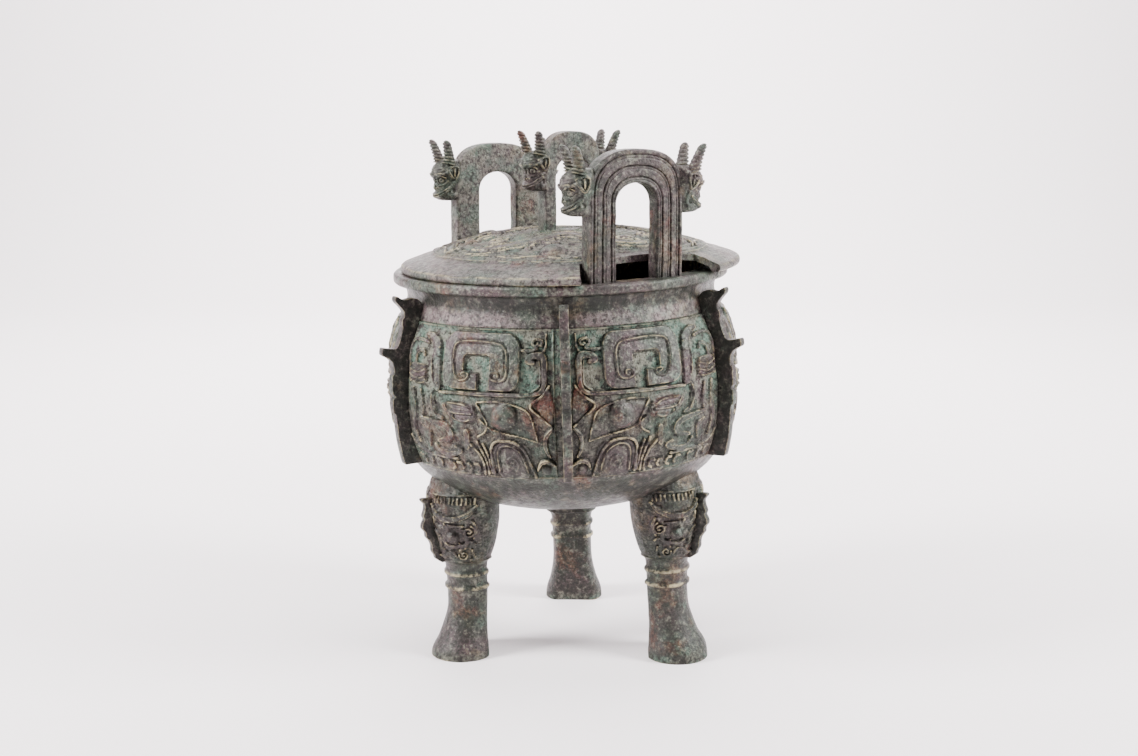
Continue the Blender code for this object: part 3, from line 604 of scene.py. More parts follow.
def flange(number):
    """A flange of the bowl: two blunt rods that point outward, two low plaques below, and a level foot."""
    edge = [(0.1004, 0.2340), (0.1030, 0.2370), (0.1080, 0.2380), (0.1124, 0.2372), (0.1158, 0.2394),
            (0.1176, 0.2398), (0.1184, 0.2382), (0.1178, 0.2362), (0.1150, 0.2332), (0.1126, 0.2296),
            (0.1129, 0.2262), (0.1141, 0.2254), (0.1145, 0.2216), (0.1140, 0.2208), (0.1154, 0.2150),
            (0.1178, 0.2094), (0.1194, 0.2076), (0.1236, 0.2080), (0.1272, 0.2088), (0.1283, 0.2080),
            (0.1286, 0.2048), (0.1274, 0.2036), (0.1240, 0.2016), (0.1218, 0.1990), (0.1211, 0.1950),
            (0.1212, 0.1918), (0.1225, 0.1910), (0.1229, 0.1850), (0.1229, 0.1796), (0.1217, 0.1788),
            (0.1217, 0.1768), (0.1229, 0.1760), (0.1230, 0.1716), (0.1227, 0.1672), (0.1214, 0.1664),
            (0.1209, 0.1600), (0.1200, 0.1500), (0.1186, 0.1420), (0.1168, 0.1345), (0.1150, 0.1337)]
    heights, radii = belly_profile()
    inner = [(np.interp(height, heights, radii) - 0.0026, height)
             for height in np.linspace(BAND_BOTTOM + 0.0002, NECK_HEIGHT - 0.001, 14)]
    outline = [tuple(point) for point in curve(edge, 2)] + inner
    mesh = fin(outline, FLANGE_THICKNESS, number * SIXTH + 0.02 * (number == 0))
    return show(mesh, f"flange_{number + 1}", "vessel", BRONZE, reach=3, scale=0.0006, sharp=60)


# Legs

def leg_form(height):
    """Distance of a leg's axis from the bowl's axis, and the leg's radius, at heights."""
    form = np.array(curve([
        (-0.0060, FOOT_CIRCLE, FOOT_RADIUS - 0.0002), (0.0030, FOOT_CIRCLE - 0.0003, FOOT_RADIUS - 0.0003),
        (0.0080, FOOT_CIRCLE - 0.0009, FOOT_RADIUS - 0.0012),
        (0.0140, FOOT_CIRCLE - 0.0026, FOOT_RADIUS - 0.0032),
        (0.0220, SHAFT_CIRCLE + 0.0024, SHAFT_RADIUS + 0.0014),
        (0.0300, SHAFT_CIRCLE + 0.0009, SHAFT_RADIUS + 0.0002),
        (0.0400, SHAFT_CIRCLE, SHAFT_RADIUS - 0.0001), (0.0600, SHAFT_CIRCLE, SHAFT_RADIUS + 0.0004),
        (0.0650, SHAFT_CIRCLE, SHAFT_RADIUS + 0.0018),
        (0.0700, SHAFT_CIRCLE - 0.0001, SHAFT_RADIUS + 0.0046),
        (0.0790, SHAFT_CIRCLE - 0.0006, SHOULDER_RADIUS * 0.86),
        (0.0900, SHAFT_CIRCLE - 0.0006, SHOULDER_RADIUS * 0.96),
        (0.1010, SHAFT_CIRCLE - 0.0006, SHOULDER_RADIUS),
        (0.1120, SHAFT_CIRCLE - 0.0010, SHOULDER_RADIUS * 0.98),
        (LEG_TOP, SHAFT_CIRCLE - 0.0015, SHOULDER_RADIUS * 0.86)], 8))
    return np.interp(height, form[:, 0], form[:, 1]), np.interp(height, form[:, 0], form[:, 2])


def leg_field(turn, height):
    """Relief of a leg: its mask between a lower border and the bowl, and the rings on its shaft.

    The mask's lines are in millimetres, across and up.
    """
    points = np.column_stack([np.abs(turn) * 0.0225, height])
    within = smooth_step(LEG_MASK_BOTTOM - 0.0002, LEG_MASK_BOTTOM + 0.0008, height)
    within *= 1 - smooth_step(1.75, 2.0, np.abs(turn))
    field = 0.00045 * thunder(points, 0.0036)

    def raised(pairs, half, rise, line=0.0, steps=5):
        raise_path(field, points, np.multiply(pairs, 0.001), np.multiply(half, 0.001), rise * 0.001,
                   line * 0.001, steps)

    raised(((3.6, 105.6), (5.2, 101.6), (11.0, 97.6), (19.0, 97.2), (27.0, 100.6), (32.0, 106.0)),
           (1, 1.6, 2.1, 2.1, 1.6, 0.7), 1.9, 0.2)
    for tooth in range(11):
        across = 5.5 + tooth * 2.5
        raised(((across, 106.8), (across + 0.4, 110.4)), (0.7,), 1.2)
    raised(((4.0, 112.2), (33.0, 112.6)), (0.7,), 1.1)
    raised(((4.4, 97.6), (5.6, 92.6), (10.0, 90.8), (16.4, 92.4), (23.6, 92.6)),
           (0.9, 1.4, 1.3, 1.3, 0.7), 1.4)
    raised(spiral((26.8, 88.6), 4.2, 1.5, 1.2, -1), (0.8,), 1.4, steps=2)
    boss(field, points, (0.0165, 0.0848), 0.0056, 0.0008)
    boss(field, points, (0.0165, 0.0848), 0.0043, 0.0034, 0.0006, 0.0004)
    raised(((3.4, 88.0), (6.6, 84.0), (6.0, 78.0), (9.0, 75.6)), (0.9, 1.4, 1.3, 0.8), 1.4)
    raised(((10.6, 80.4), (15.0, 78.2), (22.4, 79.2), (27.6, 82.0), (31.0, 80.2)),
           (0.7, 1.1, 1.3, 1.1, 0.7), 1.4)
    raised(((3.4, 70.8), (7.6, 70.4), (11.6, 73.6), (16.0, 74.0), (18.6, 71.0)),
           (0.9, 1.4, 1.3, 1.2, 0.7), 1.5)
    raised(spiral((23.2, 72.2), 3.4, 1.4, 3.0), (0.7,), 1.3, steps=2)
    raised(((29.0, 75.6), (31.0, 70.6), (28.6, 68.8)), (0.9,), 1.3)
    for across, low, high in ((24.0, 77.0, 90.0), (20.6, 76.0, 81.0), (12.4, 86.6, 94.0), (29.6, 84.0, 96.0)):
        raised(((across, low), (across + 1.6, (low + high) / 2), (across - 0.4, high)), (0.7, 1.2, 0.7), 1.3)
    field *= within * LEG_RELIEF
    np.maximum(field, 0.0014 * hump(height, LEG_MASK_BOTTOM + 0.0010, 0.0009), out=field)
    for ring in LEG_RINGS:
        np.maximum(field, LEG_RING_RISE * (1 - smooth_step(0.0010, 0.0019, np.abs(height - ring))), out=field)
    return field


def leg(number, azimuth):
    """One leg with a flared foot, two rings, and a mask on its shoulder."""
    mesh, around, up = sheet(168, 156)
    turn = np.interp(around, (0, 0.14, 0.86, 1), np.radians((-180, -108, 108, 180)))
    height = np.interp(up, (0, 0.32, 1), (-0.0060, 0.0620, LEG_TOP))
    circle, radius = leg_form(height)
    radius = radius + leg_field(turn, height)
    front = np.cos(turn)
    back = -0.72 + 0.05 * np.cos(turn * 2)
    outward = circle + radius * 0.5 * (front + back + np.sqrt((front - back) ** 2 + 0.02))
    sideways = radius * np.sin(turn)
    points = np.column_stack([outward * math.sin(azimuth) + sideways * math.cos(azimuth),
                              sideways * math.sin(azimuth) - outward * math.cos(azimuth), height])
    points += points * (3, 3, 0) * (0.0006 * swell(points, 0.012, 30 + number))[:, None]
    set_points(mesh, points)
    edited(mesh, weld)
    moved(mesh, CAST)
    edited(mesh, cut_level, cap)
    rim = 0.8 * (1 - smooth_step(0.0020, 0.0065, points_of(mesh)[:, 2]))
    return show(mesh, f"leg_{number}", "vessel", BRONZE, scale=0.00062, ground=rim, soot=LEG_DARK_AND_SHADE[number - 1])


def leg_fin(number, azimuth):
    """The wavy flange down the middle of a leg's mask."""
    edge = [(0.1085, 0.0020), (0.1090, 0.0066), (0.1078, 0.0078), (0.1046, 0.0052), (0.1010, 0.0055),
            (0.0975, 0.0068), (0.0950, 0.0062), (0.0925, 0.0078), (0.0895, 0.0086), (0.0866, 0.0070),
            (0.0835, 0.0074), (0.0805, 0.0058), (0.0770, 0.0054), (0.0735, 0.0060), (0.0705, 0.0050),
            (0.0680, 0.0052), (0.0652, 0.0030)]
    outline = []
    for height, reach in curve(edge, 3):
        circle, radius = leg_form(height)
        outline.append((circle + radius + reach, height))
    for height in (0.0652, 0.0800, 0.0950, 0.1085):
        circle, radius = leg_form(height)
        outline.append((circle + radius * 0.75, height))
    mesh = fin(outline, LEG_FLANGE_THICKNESS, azimuth)
    return show(mesh, f"leg_{number}_flange", "vessel", BRONZE, reach=3, scale=0.0006, sharp=60)


# Handles and ox heads

def arch(share, width, rise, springing, bend):
    """Sideways and up along an arch from its left foot (0) to its right foot (1)."""
    leg_part = 0.28
    angle = math.pi * (1 - np.clip((share - leg_part) / (1 - 2 * leg_part), 0, 1))
    sideways = width / 2 * np.sign(np.cos(angle)) * np.abs(np.cos(angle)) ** (2 / bend)
    crown = springing + (rise - springing) * np.abs(np.sin(angle)) ** (2 / bend)
    straight = np.minimum(np.minimum(share, 1 - share) / leg_part, 1)
    up = np.where(straight < 1, -HANDLE_EMBED + (springing + HANDLE_EMBED) * straight, crown)
    return sideways, up


def handle(loop, grooved, seed):
    """An upright handle: X across, Z up, its outer face at Y = 0 looking along -Y.

    The loop gives its width and rise and those of its opening; grooved is 1 or 0.
    """
    width, rise, opening_width, opening_rise = loop
    mesh, along, around = sheet(150, 110)
    springing = rise * 0.63
    outer_x, outer_z = arch(along, width, rise, springing, 2.6)
    inner_x, inner_z = arch(along, opening_width, opening_rise, min(springing, opening_rise * 0.78), 2.1)
    run = np.hypot(inner_x - outer_x, inner_z - outer_z)
    inward = np.interp(around, (0, 0.62, 0.72, 0.88, 1), (0, 1, 1, 0, 0)) * run
    deep = np.interp(around, (0, 0.62, 0.72, 0.88, 1), (0, 0, 1, 1, 0)) * HANDLE_THICKNESS
    core_in = np.clip(inward, HANDLE_SOFTNESS, run - HANDLE_SOFTNESS)
    core_deep = np.clip(deep, HANDLE_SOFTNESS, HANDLE_THICKNESS - HANDLE_SOFTNESS)
    away = np.maximum(np.hypot(inward - core_in, deep - core_deep), 1e-9)
    pull = np.minimum(HANDLE_SOFTNESS / away, 1)
    inward = core_in + (inward - core_in) * pull
    deep = core_deep + (deep - core_deep) * pull
    face = (around < 0.62) * np.clip((np.minimum(inward, run - inward) - 0.0005) / 0.0008, 0, 1) * grooved
    for groove in GROOVES:
        deep = deep + face * GROOVE_DEPTH * hump(inward, groove * run, GROOVE_HALF)
        deep = deep + face * 0.0004 * hump(inward, groove * run + 0.0019, 0.00035)
    share = inward / run
    points = np.column_stack([outer_x + (inner_x - outer_x) * share, deep,
                              outer_z + (inner_z - outer_z) * share])
    points[:, 1] += 0.0002 * swell(points, 0.02, seed)
    points[:, 0] += 0.0003 * swell(points, 0.03, seed + 1)
    set_points(mesh, points)
    return edited(mesh, weld, cap)


HEAD_FORM = (
    # height from the eye, reach outward and half width, in tenths of the head's height
    (-4.95, 1.2, 0.6), (-4.9, 3.0, 1.5), (-4.6, 4.3, 2.1), (-4.0, 4.75, 2.35), (-3.3, 4.9, 2.4),
    (-2.8, 4.75, 2.2), (-2.2, 5.05, 2.2), (-1.4, 4.95, 2.3), (-0.6, 4.85, 2.55), (0.3, 5.0, 2.9),
    (1.0, 5.4, 3.2), (1.9, 5.7, 3.4), (2.8, 5.5, 3.4), (3.6, 4.9, 3.2), (4.2, 4.1, 2.8), (4.7, 2.9, 2.0),
    (4.9, 1.2, 0.7),
)


def head(height, side):
    """An ox head that looks out along X from a handle's edge, with its eyes level with Z = 0."""
    unit = height / 10
    mesh, around, up = sheet(96, 92)
    turn = np.interp(around, (0, 0.1, 0.9, 1), np.radians((-180, -112, 112, 180)))
    form = np.array(curve(HEAD_FORM, 4))
    level, reach, half = (np.interp(up, np.linspace(0, 1, len(form)), form[:, column]) for column in range(3))
    flat = np.column_stack([np.abs(turn) * 3.2, level])
    lift = np.zeros(len(flat))

    def at(*pairs):
        return [(math.radians(across) * 3.2, up_from_eye) for across, up_from_eye in pairs]

    def raised(half_width, rise, *pairs):
        raise_path(lift, flat, at(*pairs), half_width if isinstance(half_width, tuple) else (half_width,),
                   rise)

    def scored(half_width, depth, *pairs):
        cut_path(lift, flat, at(*pairs), half_width, depth)

    # Brow, eye and nose
    raised((0.42, 0.36, 0.30, 0.30), 0.50, (0, 0.8), (14, 1.2), (34, 1.45), (54, 1.5), (70, 2.3))
    raised(0.20, 0.30, (14, 0.55), (34, 0.98), (54, 0.6))
    boss(lift, flat, at((38, 0.0))[0], 0.66, 0.50, 0.22, 0.35)
    rim = np.linalg.norm(flat - at((38, 0.0))[0], axis=1)
    lift += 0.22 * hump(rim, 1.02, 0.14) - 0.18 * hump(rim, 0.80, 0.10)
    raised(0.20, 0.28, (8, -0.9), (28, -1.3), (50, -1.0), (62, -0.2))
    raised((0.5, 0.35, 0.5), 0.34, (0, 0.4), (0, -0.8), (0, -2.0))
    raised(0.18, 0.32, (12, -1.8), (26, -1.7), (32, -2.4))
    scored(0.24, 0.55, (16, -2.35), (24, -2.3))
    # Open mouth with doubled lips that sweep back and up
    raised(0.36, 0.66, (0, -3.35), (20, -3.2), (42, -2.7), (60, -1.95), (72, -1.2))
    raised(0.38, 0.62, (0, -4.15), (22, -4.0), (46, -3.2), (66, -2.3), (78, -1.5))
    scored(0.34, 1.30, (0, -2.75), (20, -2.65), (42, -2.2), (60, -1.4), (70, -0.8))
    scored(0.10, 0.35, (0, -3.68), (22, -3.52), (46, -2.95), (64, -2.12))
    scored(0.18, 0.40, (0, -4.45), (24, -4.3), (50, -3.65), (70, -2.8))
    raised((0.8, 1.0, 0.7), 0.30, (86, -1.2), (88, -2.5), (84, -3.9))
    scored(0.24, 0.60, (84, -2.3), (85, -2.8))
    # Ear, a hanging leaf with a rib, and wrinkles on the forehead
    scored(0.80, 0.40, (82, 2.6), (84, 1.3))
    raised(0.27, 0.52, (62, 2.7), (80, 3.4), (98, 2.9), (98, 1.6), (85, 0.2), (70, 1.3), (62, 2.7))
    raised(0.16, 0.40, (81, 3.0), (84, 0.9))
    for wrinkle in (2.2, 2.9, 3.6):
        scored(0.10, 0.16, (4, wrinkle), (26, wrinkle + 0.15), (50, wrinkle + 0.5))
    outward = np.where(np.cos(turn) > 0, reach - 1, 2.4)
    points = np.column_stack([1 + outward * np.cos(turn) + lift * np.cos(turn), (half + lift) * np.sin(turn),
                              level])
    set_points(mesh, points)
    edited(mesh, weld, cap)
    return moved(joined([mesh] + [horn(way) for way in (-1, 1)]),
                 Matrix.Diagonal((side * unit, unit, unit, 1)))


def horn(way):
    """A blunt horn with rings on its outer side, in tenths of the head's height."""
    mesh, around, up = sheet(24, 72)
    angle = around * math.tau
    groove = np.exp(-(((up * 7.2) % 1 - 0.5) / 0.20) ** 2) * (up < 0.92)
    radius = (1.60 - 0.68 * up + 0.10 * np.exp(-(up / 0.08) ** 2)) * np.sqrt(np.clip((1 - up) * 9, 0, 1))
    radius *= 1 - 0.27 * groove * (0.65 + 0.35 * np.cos(angle))
    points = np.column_stack([2.3 + 1.6 * up ** 1.3 + radius * np.cos(angle),
                              way * (2.3 + 1.35 * up ** 1.2) + radius * np.sin(angle),
                              3.8 + 5.8 * up + 0.25 * radius * np.cos(angle) * (1 - up)])
    set_points(mesh, points)
    return edited(mesh, weld, cap)


def joined(meshes):
    """Put several closed bodies into one mesh."""
    whole = bmesh.new()
    for mesh in meshes:
        whole.from_mesh(mesh)
    return finished(whole, "joined")


def handle_set(name, node, stand, loop, head_height, grooved, twists, soot, seed):
    """A handle and the two heads on its shoulders, each turned a little its own way."""
    width, rise = loop[:2]
    arch_mesh = moved(handle(loop, grooved, seed), stand)
    # A slight, even painted sheen on the arch
    show(arch_mesh, name, node, BRONZE, scale=0.0010, bloom=0.2, ground=0.45 - soot, soot=soot)
    for side, word, twist in ((-1, "left", twists[0]), (1, "right", twists[1])):
        seat = stand @ Matrix.Translation((side * width / 2, HANDLE_THICKNESS / 2, rise - HEAD_SHOULDER))
        seat = seat @ Matrix.Rotation(math.radians(twist), 4, "Z")
        show(moved(head(head_height, side), seat), f"{name}_{word}_head", node, BRONZE, scale=0.00042,
             ground=0.15, soot=0.15)


# Lid

def lid_level(radius):
    """Height of the lid's upper side above its seat."""
    return LID_EDGE + (LID_RISE - LID_EDGE) * (1 - np.minimum(radius / LID_RADIUS, 1.0) ** 2.1)


def lid_field(points):
    """Relief of the lid: three coiled creatures with bosses inside a border line."""
    radius = np.linalg.norm(points, axis=1)
    warped = points + 0.0022 * np.column_stack([np.sin(points[:, 1] * 230), np.sin(points[:, 0] * 210)])
    angle = np.arctan2(points[:, 1], points[:, 0])
    flow = np.sin(radius * 1450 + 3.0 * np.sin(angle * 3 + 0.6) + 2.0 * np.sin(angle * 7 + radius * 150))
    field = 0.00040 * thunder(warped, 0.0056) + 0.00050 * flow - 0.0005 * hump(flow, -1, 0.3)
    # Three coils, each with its bands, spirals, arcs and bosses
    for number in range(3):
        start = math.radians(-60 + 120 * number)

        def polar(turn, reach):
            angle = start + math.radians(turn)
            return (LID_FIELD * reach * math.sin(angle), -LID_FIELD * reach * math.cos(angle))

        for shift, half, rise in ((0, 0.0050, 0.0022), (0.09, 0.0010, 0.0017), (-0.11, 0.0010, 0.0017)):
            coil = [polar(8 + 96 * s, 0.85 + shift - 0.40 * math.sin(s * math.pi) ** 2 - 0.10 * s)
                    for s in np.linspace(0, 1, 12)]
            raise_path(field, points, coil, (half * 0.4, half, half, half * 0.9, half * 0.4), rise, 0.0003, 3)
        for turn, reach, size, way in ((30, 0.70, 0.0095, 1), (74, 0.80, 0.0100, -1), (100, 0.62, 0.0085, 1),
                                       (6, 0.60, 0.0080, -1), (112, 0.88, 0.0060, 1), (48, 0.56, 0.0070, -1)):
            raise_path(field, points, spiral(polar(turn, reach), size, 1.7, start, way),
                       (0.0015, 0.0010, 0.0008), 0.0017, 0, 2)
        for low, high in ((14, 32), (36, 56), (62, 84), (90, 108)):
            arc = [polar(low, 0.94), polar((low + high) / 2, 0.91), polar(high, 0.94)]
            raise_path(field, points, arc, (0.0008,), 0.0014)
        boss(field, points, polar(52, 0.80), 0.0080, 0.0046, 0.0014)
        boss(field, points, polar(86, 0.52), 0.0050, 0.0034, 0.0010)
        boss(field, points, polar(20, 0.82), 0.0034, 0.0026)
    inside = 1 - smooth_step(LID_FIELD - 0.0016, LID_FIELD - 0.0008, radius)
    # Plain margin along the two notches
    turn = HANDLE_AZIMUTH + LID_TURN
    for way in (-1, 1):
        toward = way * (points[:, 0] * math.sin(turn) - points[:, 1] * math.cos(turn))
        inside = inside * (1 - smooth_step(NOTCH_FLOOR_OUT - 0.0060, NOTCH_FLOOR_OUT - 0.0045, toward))
    field *= inside
    ground = inside * (1 - smooth_step(0.0005, 0.0012, field))
    np.maximum(field, 0.0010 * hump(radius, LID_FIELD, 0.0008), out=field)
    np.maximum(field, 0.0003 * hump(radius, LID_FIELD + 0.0105, 0.0010), out=field)
    return field * smooth_step(0.004, 0.010, radius), ground


def lid():
    """The domed lid with its relief, its flat seat and two notches for the rim handles."""
    radii = np.concatenate([np.linspace(0, LID_FIELD + 0.002, 142),
                            np.linspace(LID_FIELD + 0.004, LID_RADIUS - 0.0012, 12)])
    outline = [(radius, lid_level(radius)) for radius in radii]
    outline += curve([(LID_RADIUS - 0.0004, LID_EDGE * 0.92), (LID_RADIUS, LID_EDGE * 0.6),
                      (LID_RADIUS - 0.0003, LID_EDGE * 0.2), (LID_RADIUS - 0.0012, 0)], 3)
    outline += [(LID_RADIUS * 0.95, 0)]
    outline += [(radius, lid_level(radius) - LID_WALL) for radius in np.linspace(LID_RADIUS * 0.93, 0, 12)]
    mesh = turned(outline, 384)
    points = points_of(mesh)
    radius = np.linalg.norm(points[:, :2], axis=1)
    upper = np.abs(points[:, 2] - lid_level(radius)) < 0.00002
    upper &= radius < LID_RADIUS - 0.0010
    rise, ground = lid_field(points[upper, :2])
    points[upper, 2] += rise
    points[:, 2] += upper * 0.0003 * swell(points, 0.03, 70)
    set_points(mesh, points)
    shown = np.zeros(len(points))
    shown[upper] = ground
    store(mesh, "ground", 0.22 + shown * 0.35)
    worn(mesh, 5, 0.00038)
    body = placed("lid_body", mesh)
    cutters = []
    for half in (0, 1):
        cutter = placed("notch", notch(HANDLE_AZIMUTH + LID_TURN + half * math.pi))
        cut = body.modifiers.new("Notch", "BOOLEAN")
        cut.operation = "DIFFERENCE"
        cut.object = cutter
        cut.solver = "EXACT"
        cutters.append(cutter)
    bpy.context.view_layer.update()
    shape = bpy.data.meshes.new_from_object(body.evaluated_get(bpy.context.evaluated_depsgraph_get()))
    for scratch in [body] + cutters:
        bpy.data.objects.remove(scratch, do_unlink=True)
    points = points_of(shape)
    # Painted sheen, slight over the whole lid and stronger on its plain outer margin
    zone = smooth_step(LID_FIELD, LID_FIELD + 0.002, np.linalg.norm(points[:, :2], axis=1))
    moved(shape, SEATING)
    return show(shape, "lid_shell", "lid", BRONZE, bloom=0.2 + zone * 0.3)


def notch(azimuth):
    """The body that a notch takes out of the lid."""
    beyond = LID_RADIUS + 0.02
    plan = [(-NOTCH_FLOOR_HALF, NOTCH_FLOOR_OUT), (NOTCH_FLOOR_HALF, NOTCH_FLOOR_OUT),
            (NOTCH_MOUTH_HALF, NOTCH_MOUTH_OUT), (NOTCH_MOUTH_HALF, beyond), (-NOTCH_MOUTH_HALF, beyond),
            (-NOTCH_MOUTH_HALF, NOTCH_MOUTH_OUT)]
    bm = plate_of([(sideways, -outward, -LID_RISE) for sideways, outward in plan], (0, 0, LID_RISE * 3))
    return moved(finished(bm, "notch"), Matrix.Rotation(azimuth, 4, "Z"))


# Patina

MAUVE = (0.062, 0.038, 0.042)
GREY_GREEN = (0.042, 0.053, 0.040)
DARK_METAL = (0.017, 0.014, 0.012)
BROWN_RED = (0.082, 0.023, 0.015)
OCHRE = (0.118, 0.080, 0.042)
# Painted sheen, a pinkish grey
PAINTED_SHEEN_PINK = (0.150, 0.106, 0.109)
GREY_CRUST = (0.138, 0.140, 0.108)
BLUE_CRUST = (0.078, 0.132, 0.100)
DARK_GRIT = (0.013, 0.011, 0.009)
PALE_GRIT = (0.190, 0.178, 0.138)
# Near black for the darkening, which is painted shade in part
DARK_AND_SHADE_TINT = (0.009, 0.010, 0.007)
# Painted shade in creases and at the feet of raised forms
PAINTED_CREASE_SHADE = (0.006, 0.006, 0.005)
CREAM = (0.370, 0.310, 0.180)
PALE_SPECK = (0.230, 0.250, 0.190)
DARK_PIT = (0.008, 0.008, 0.007)


def node(tree, kind, inputs=None, **settings):
    """Add a shader node; an input takes a value or another node's output."""
    made = tree.nodes.new(kind)
    for name, value in settings.items():
        setattr(made, name, value)
    for name, value in (inputs or {}).items():
        if isinstance(value, bpy.types.NodeSocket):
            tree.links.new(value, made.inputs[name])
        else:
            made.inputs[name].default_value = value
    return made


def noise(tree, place, scale, detail, rough):
    """Value of a noise at a place."""
    return node(tree, "ShaderNodeTexNoise", {"Vector": place, "Scale": scale, "Detail": detail,
                                             "Roughness": rough}).outputs[0]


def between(tree, value, low, high):
    """A value eased from 0 at low to 1 at high."""
    return node(tree, "ShaderNodeMapRange", {"Value": value, "From Min": low, "From Max": high},
                interpolation_type="SMOOTHSTEP").outputs[0]


def math_of(tree, operation, first, second):
    """One sum, product or like of two values, kept from 0 to 1."""
    return node(tree, "ShaderNodeMath", {0: first, 1: second}, operation=operation, use_clamp=True).outputs[0]


def tinted(tree, share, under, over):
    """One colour laid over another by a share."""
    made = node(tree, "ShaderNodeMix", {0: share}, data_type="RGBA")
    for socket, value in ((made.inputs[6], under), (made.inputs[7], over)):
        if isinstance(value, bpy.types.NodeSocket):
            tree.links.new(value, socket)
        else:
            socket.default_value = (*value, 1)
    return made.outputs[2]


def patina_group():
    """Colour, roughness and fine height of old bronze, from a place and what each vertex stores."""
    tree = bpy.data.node_groups.new("Patina", "ShaderNodeTree")
    inputs = ("Wear", "Crease_Shade", "Ground", "Bloom", "Soot")
    tree.interface.new_socket("Place", in_out="INPUT", socket_type="NodeSocketVector")
    for name in inputs:
        tree.interface.new_socket(name, in_out="INPUT", socket_type="NodeSocketFloat")
    for name, kind in (("Color", "NodeSocketColor"), ("Roughness", "NodeSocketFloat"),
                       ("Height", "NodeSocketFloat")):
        tree.interface.new_socket(name, in_out="OUTPUT", socket_type=kind)
    source = tree.nodes.new("NodeGroupInput")
    place = source.outputs["Place"]
    wear, crease_shade, ground, bloom, soot = (source.outputs[name] for name in inputs)

    def blend(first, second):
        return math_of(tree, "MULTIPLY", first, second)

    def eased(value, low, high):
        return between(tree, value, low, high)

    def patches(scale, detail, rough, low, high):
        return eased(noise(tree, place, scale, detail, rough), low, high)

    fine = noise(tree, place, 150, 5, 0.65)
    grain = noise(tree, place, 600, 4, 0.7)
    mottle = noise(tree, place, 300, 7, 0.80)
    undarkened = math_of(tree, "SUBTRACT", 1.0, soot)
    crust_colour = tinted(tree, patches(60, 4, 0.6, 0.45, 0.58), GREY_CRUST, BLUE_CRUST)
    green = blend(ground, eased(fine, 0.34, 0.50))
    scattered = blend(patches(34, 6, 0.7, 0.50, 0.64), eased(fine, 0.44, 0.58))
    colour = tinted(tree, patches(30, 5, 0.6, 0.40, 0.60), MAUVE, GREY_GREEN)
    for share, over in (
            # Darker, brown-red and ochre areas of the bare metal
            (blend(patches(75, 5, 0.65, 0.48, 0.64), 0.75), DARK_METAL),
            (patches(23, 6, 0.68, 0.56, 0.66), BROWN_RED),
            (blend(patches(47, 5, 0.7, 0.54, 0.66), 0.60), OCHRE),
            # Painted sheen of pinkish grey on the shoulder and other plain zones
            (blend(bloom, patches(45, 5, 0.55, 0.36, 0.58)), PAINTED_SHEEN_PINK),
            # Pale green crust in the ground and in scattered areas, bluer in patches
            (math_of(tree, "MAXIMUM", blend(green, 0.85), blend(scattered, 0.60)), crust_colour),
            # Gritty mottling, dark and pale
            (blend(eased(mottle, 0.50, 0.43), 0.80), DARK_GRIT),
            (blend(eased(mottle, 0.54, 0.61), 0.45), PALE_GRIT),
            # Darkening, near black and painted shade in part; painted crease shade at the feet of raised
            # forms; pale worn arrises
            (blend(soot, eased(fine, 0.70, 0.40)), DARK_AND_SHADE_TINT),
            (blend(eased(crease_shade, 0.35, 0.95), 0.85), PAINTED_CREASE_SHADE),
            (blend(eased(wear, 0.36, 0.95), eased(fine, 0.40, 0.60)), CREAM),
            # Pale specks and dark pits
            (blend(eased(grain, 0.56, 0.68), blend(undarkened, 0.50)), PALE_SPECK),
            (blend(eased(grain, 0.44, 0.36), 0.60), DARK_PIT)):
        colour = tinted(tree, share, colour, over)
    crust = noise(tree, place, 260, 6, 0.65)
    roughness = node(tree, "ShaderNodeMapRange", {"Value": crust, "From Min": 0.3, "From Max": 0.7,
                                                  "To Min": 0.26, "To Max": 0.56}).outputs[0]
    roughness = math_of(tree, "ADD", roughness, blend(ground, 0.22))
    height = math_of(tree, "ADD", blend(crust, 0.6), blend(grain, 0.4))
    result = tree.nodes.new("NodeGroupOutput")
    for socket, value in (("Color", colour), ("Roughness", roughness), ("Height", height)):
        tree.links.new(value, result.inputs[socket])
    return tree


def bronze(group):
    """Old bronze, with the wear, painted crease shade, ground, painted sheen, and darkening with painted
    shade that each vertex stores.
    """
    material = bpy.data.materials.new("old bronze")
    material.use_nodes = True
    tree = material.node_tree
    shader = tree.nodes["Principled BSDF"]
    place = tree.nodes.new("ShaderNodeTexCoord").outputs["Object"]
    patina = node(tree, "ShaderNodeGroup", node_tree=group)
    tree.links.new(place, patina.inputs["Place"])
    for name in ("wear", "crease_shade", "ground", "bloom", "soot"):
        stored = node(tree, "ShaderNodeAttribute", attribute_name=name)
        tree.links.new(stored.outputs["Fac"], patina.inputs[name.title()])
    bump = node(tree, "ShaderNodeBump", {"Height": patina.outputs["Height"], "Strength": 0.85,
                                         "Distance": 0.0013})
    tree.links.new(patina.outputs["Color"], shader.inputs["Base Color"])
    tree.links.new(patina.outputs["Roughness"], shader.inputs["Roughness"])
    tree.links.new(bump.outputs["Normal"], shader.inputs["Normal"])
    shader.inputs["Metallic"].default_value = 0.25
    shader.inputs["Specular IOR Level"].default_value = 0.36
    return material


# Studio

PAPER = (0.82, 0.762, 0.772, 1)
PAPER_GLOW = (1.0, 0.94, 0.95, 1)
PAPER_GLOW_STRENGTH = 0.30
SKY = (0.93, 0.94, 1.0, 1)
SKY_STRENGTH = 0.28
VESSEL_MIDDLE = (0, 0, 0.17)
LAMPS = (
    # name, place, what it points at, size and power
    ("key", (-1.28, -0.42, 0.95), VESSEL_MIDDLE, 0.45, 63.0),
    ("fill", (1.25, -0.34, 0.90), VESSEL_MIDDLE, 0.5, 55.0),
    ("top", (0.0, 0.1, 1.6), VESSEL_MIDDLE, 0.9, 27.0),
    ("wall", (0.0, 0.9, 1.5), (0, 2.3, 0.5), 1.0, 135.0),
)
CAMERA_PLACE = (0.00366, -1.0225, 0.3651)
CAMERA_TILT = math.radians(79.466)
CAMERA_LENS = 50
CAMERA_SENSOR = 36


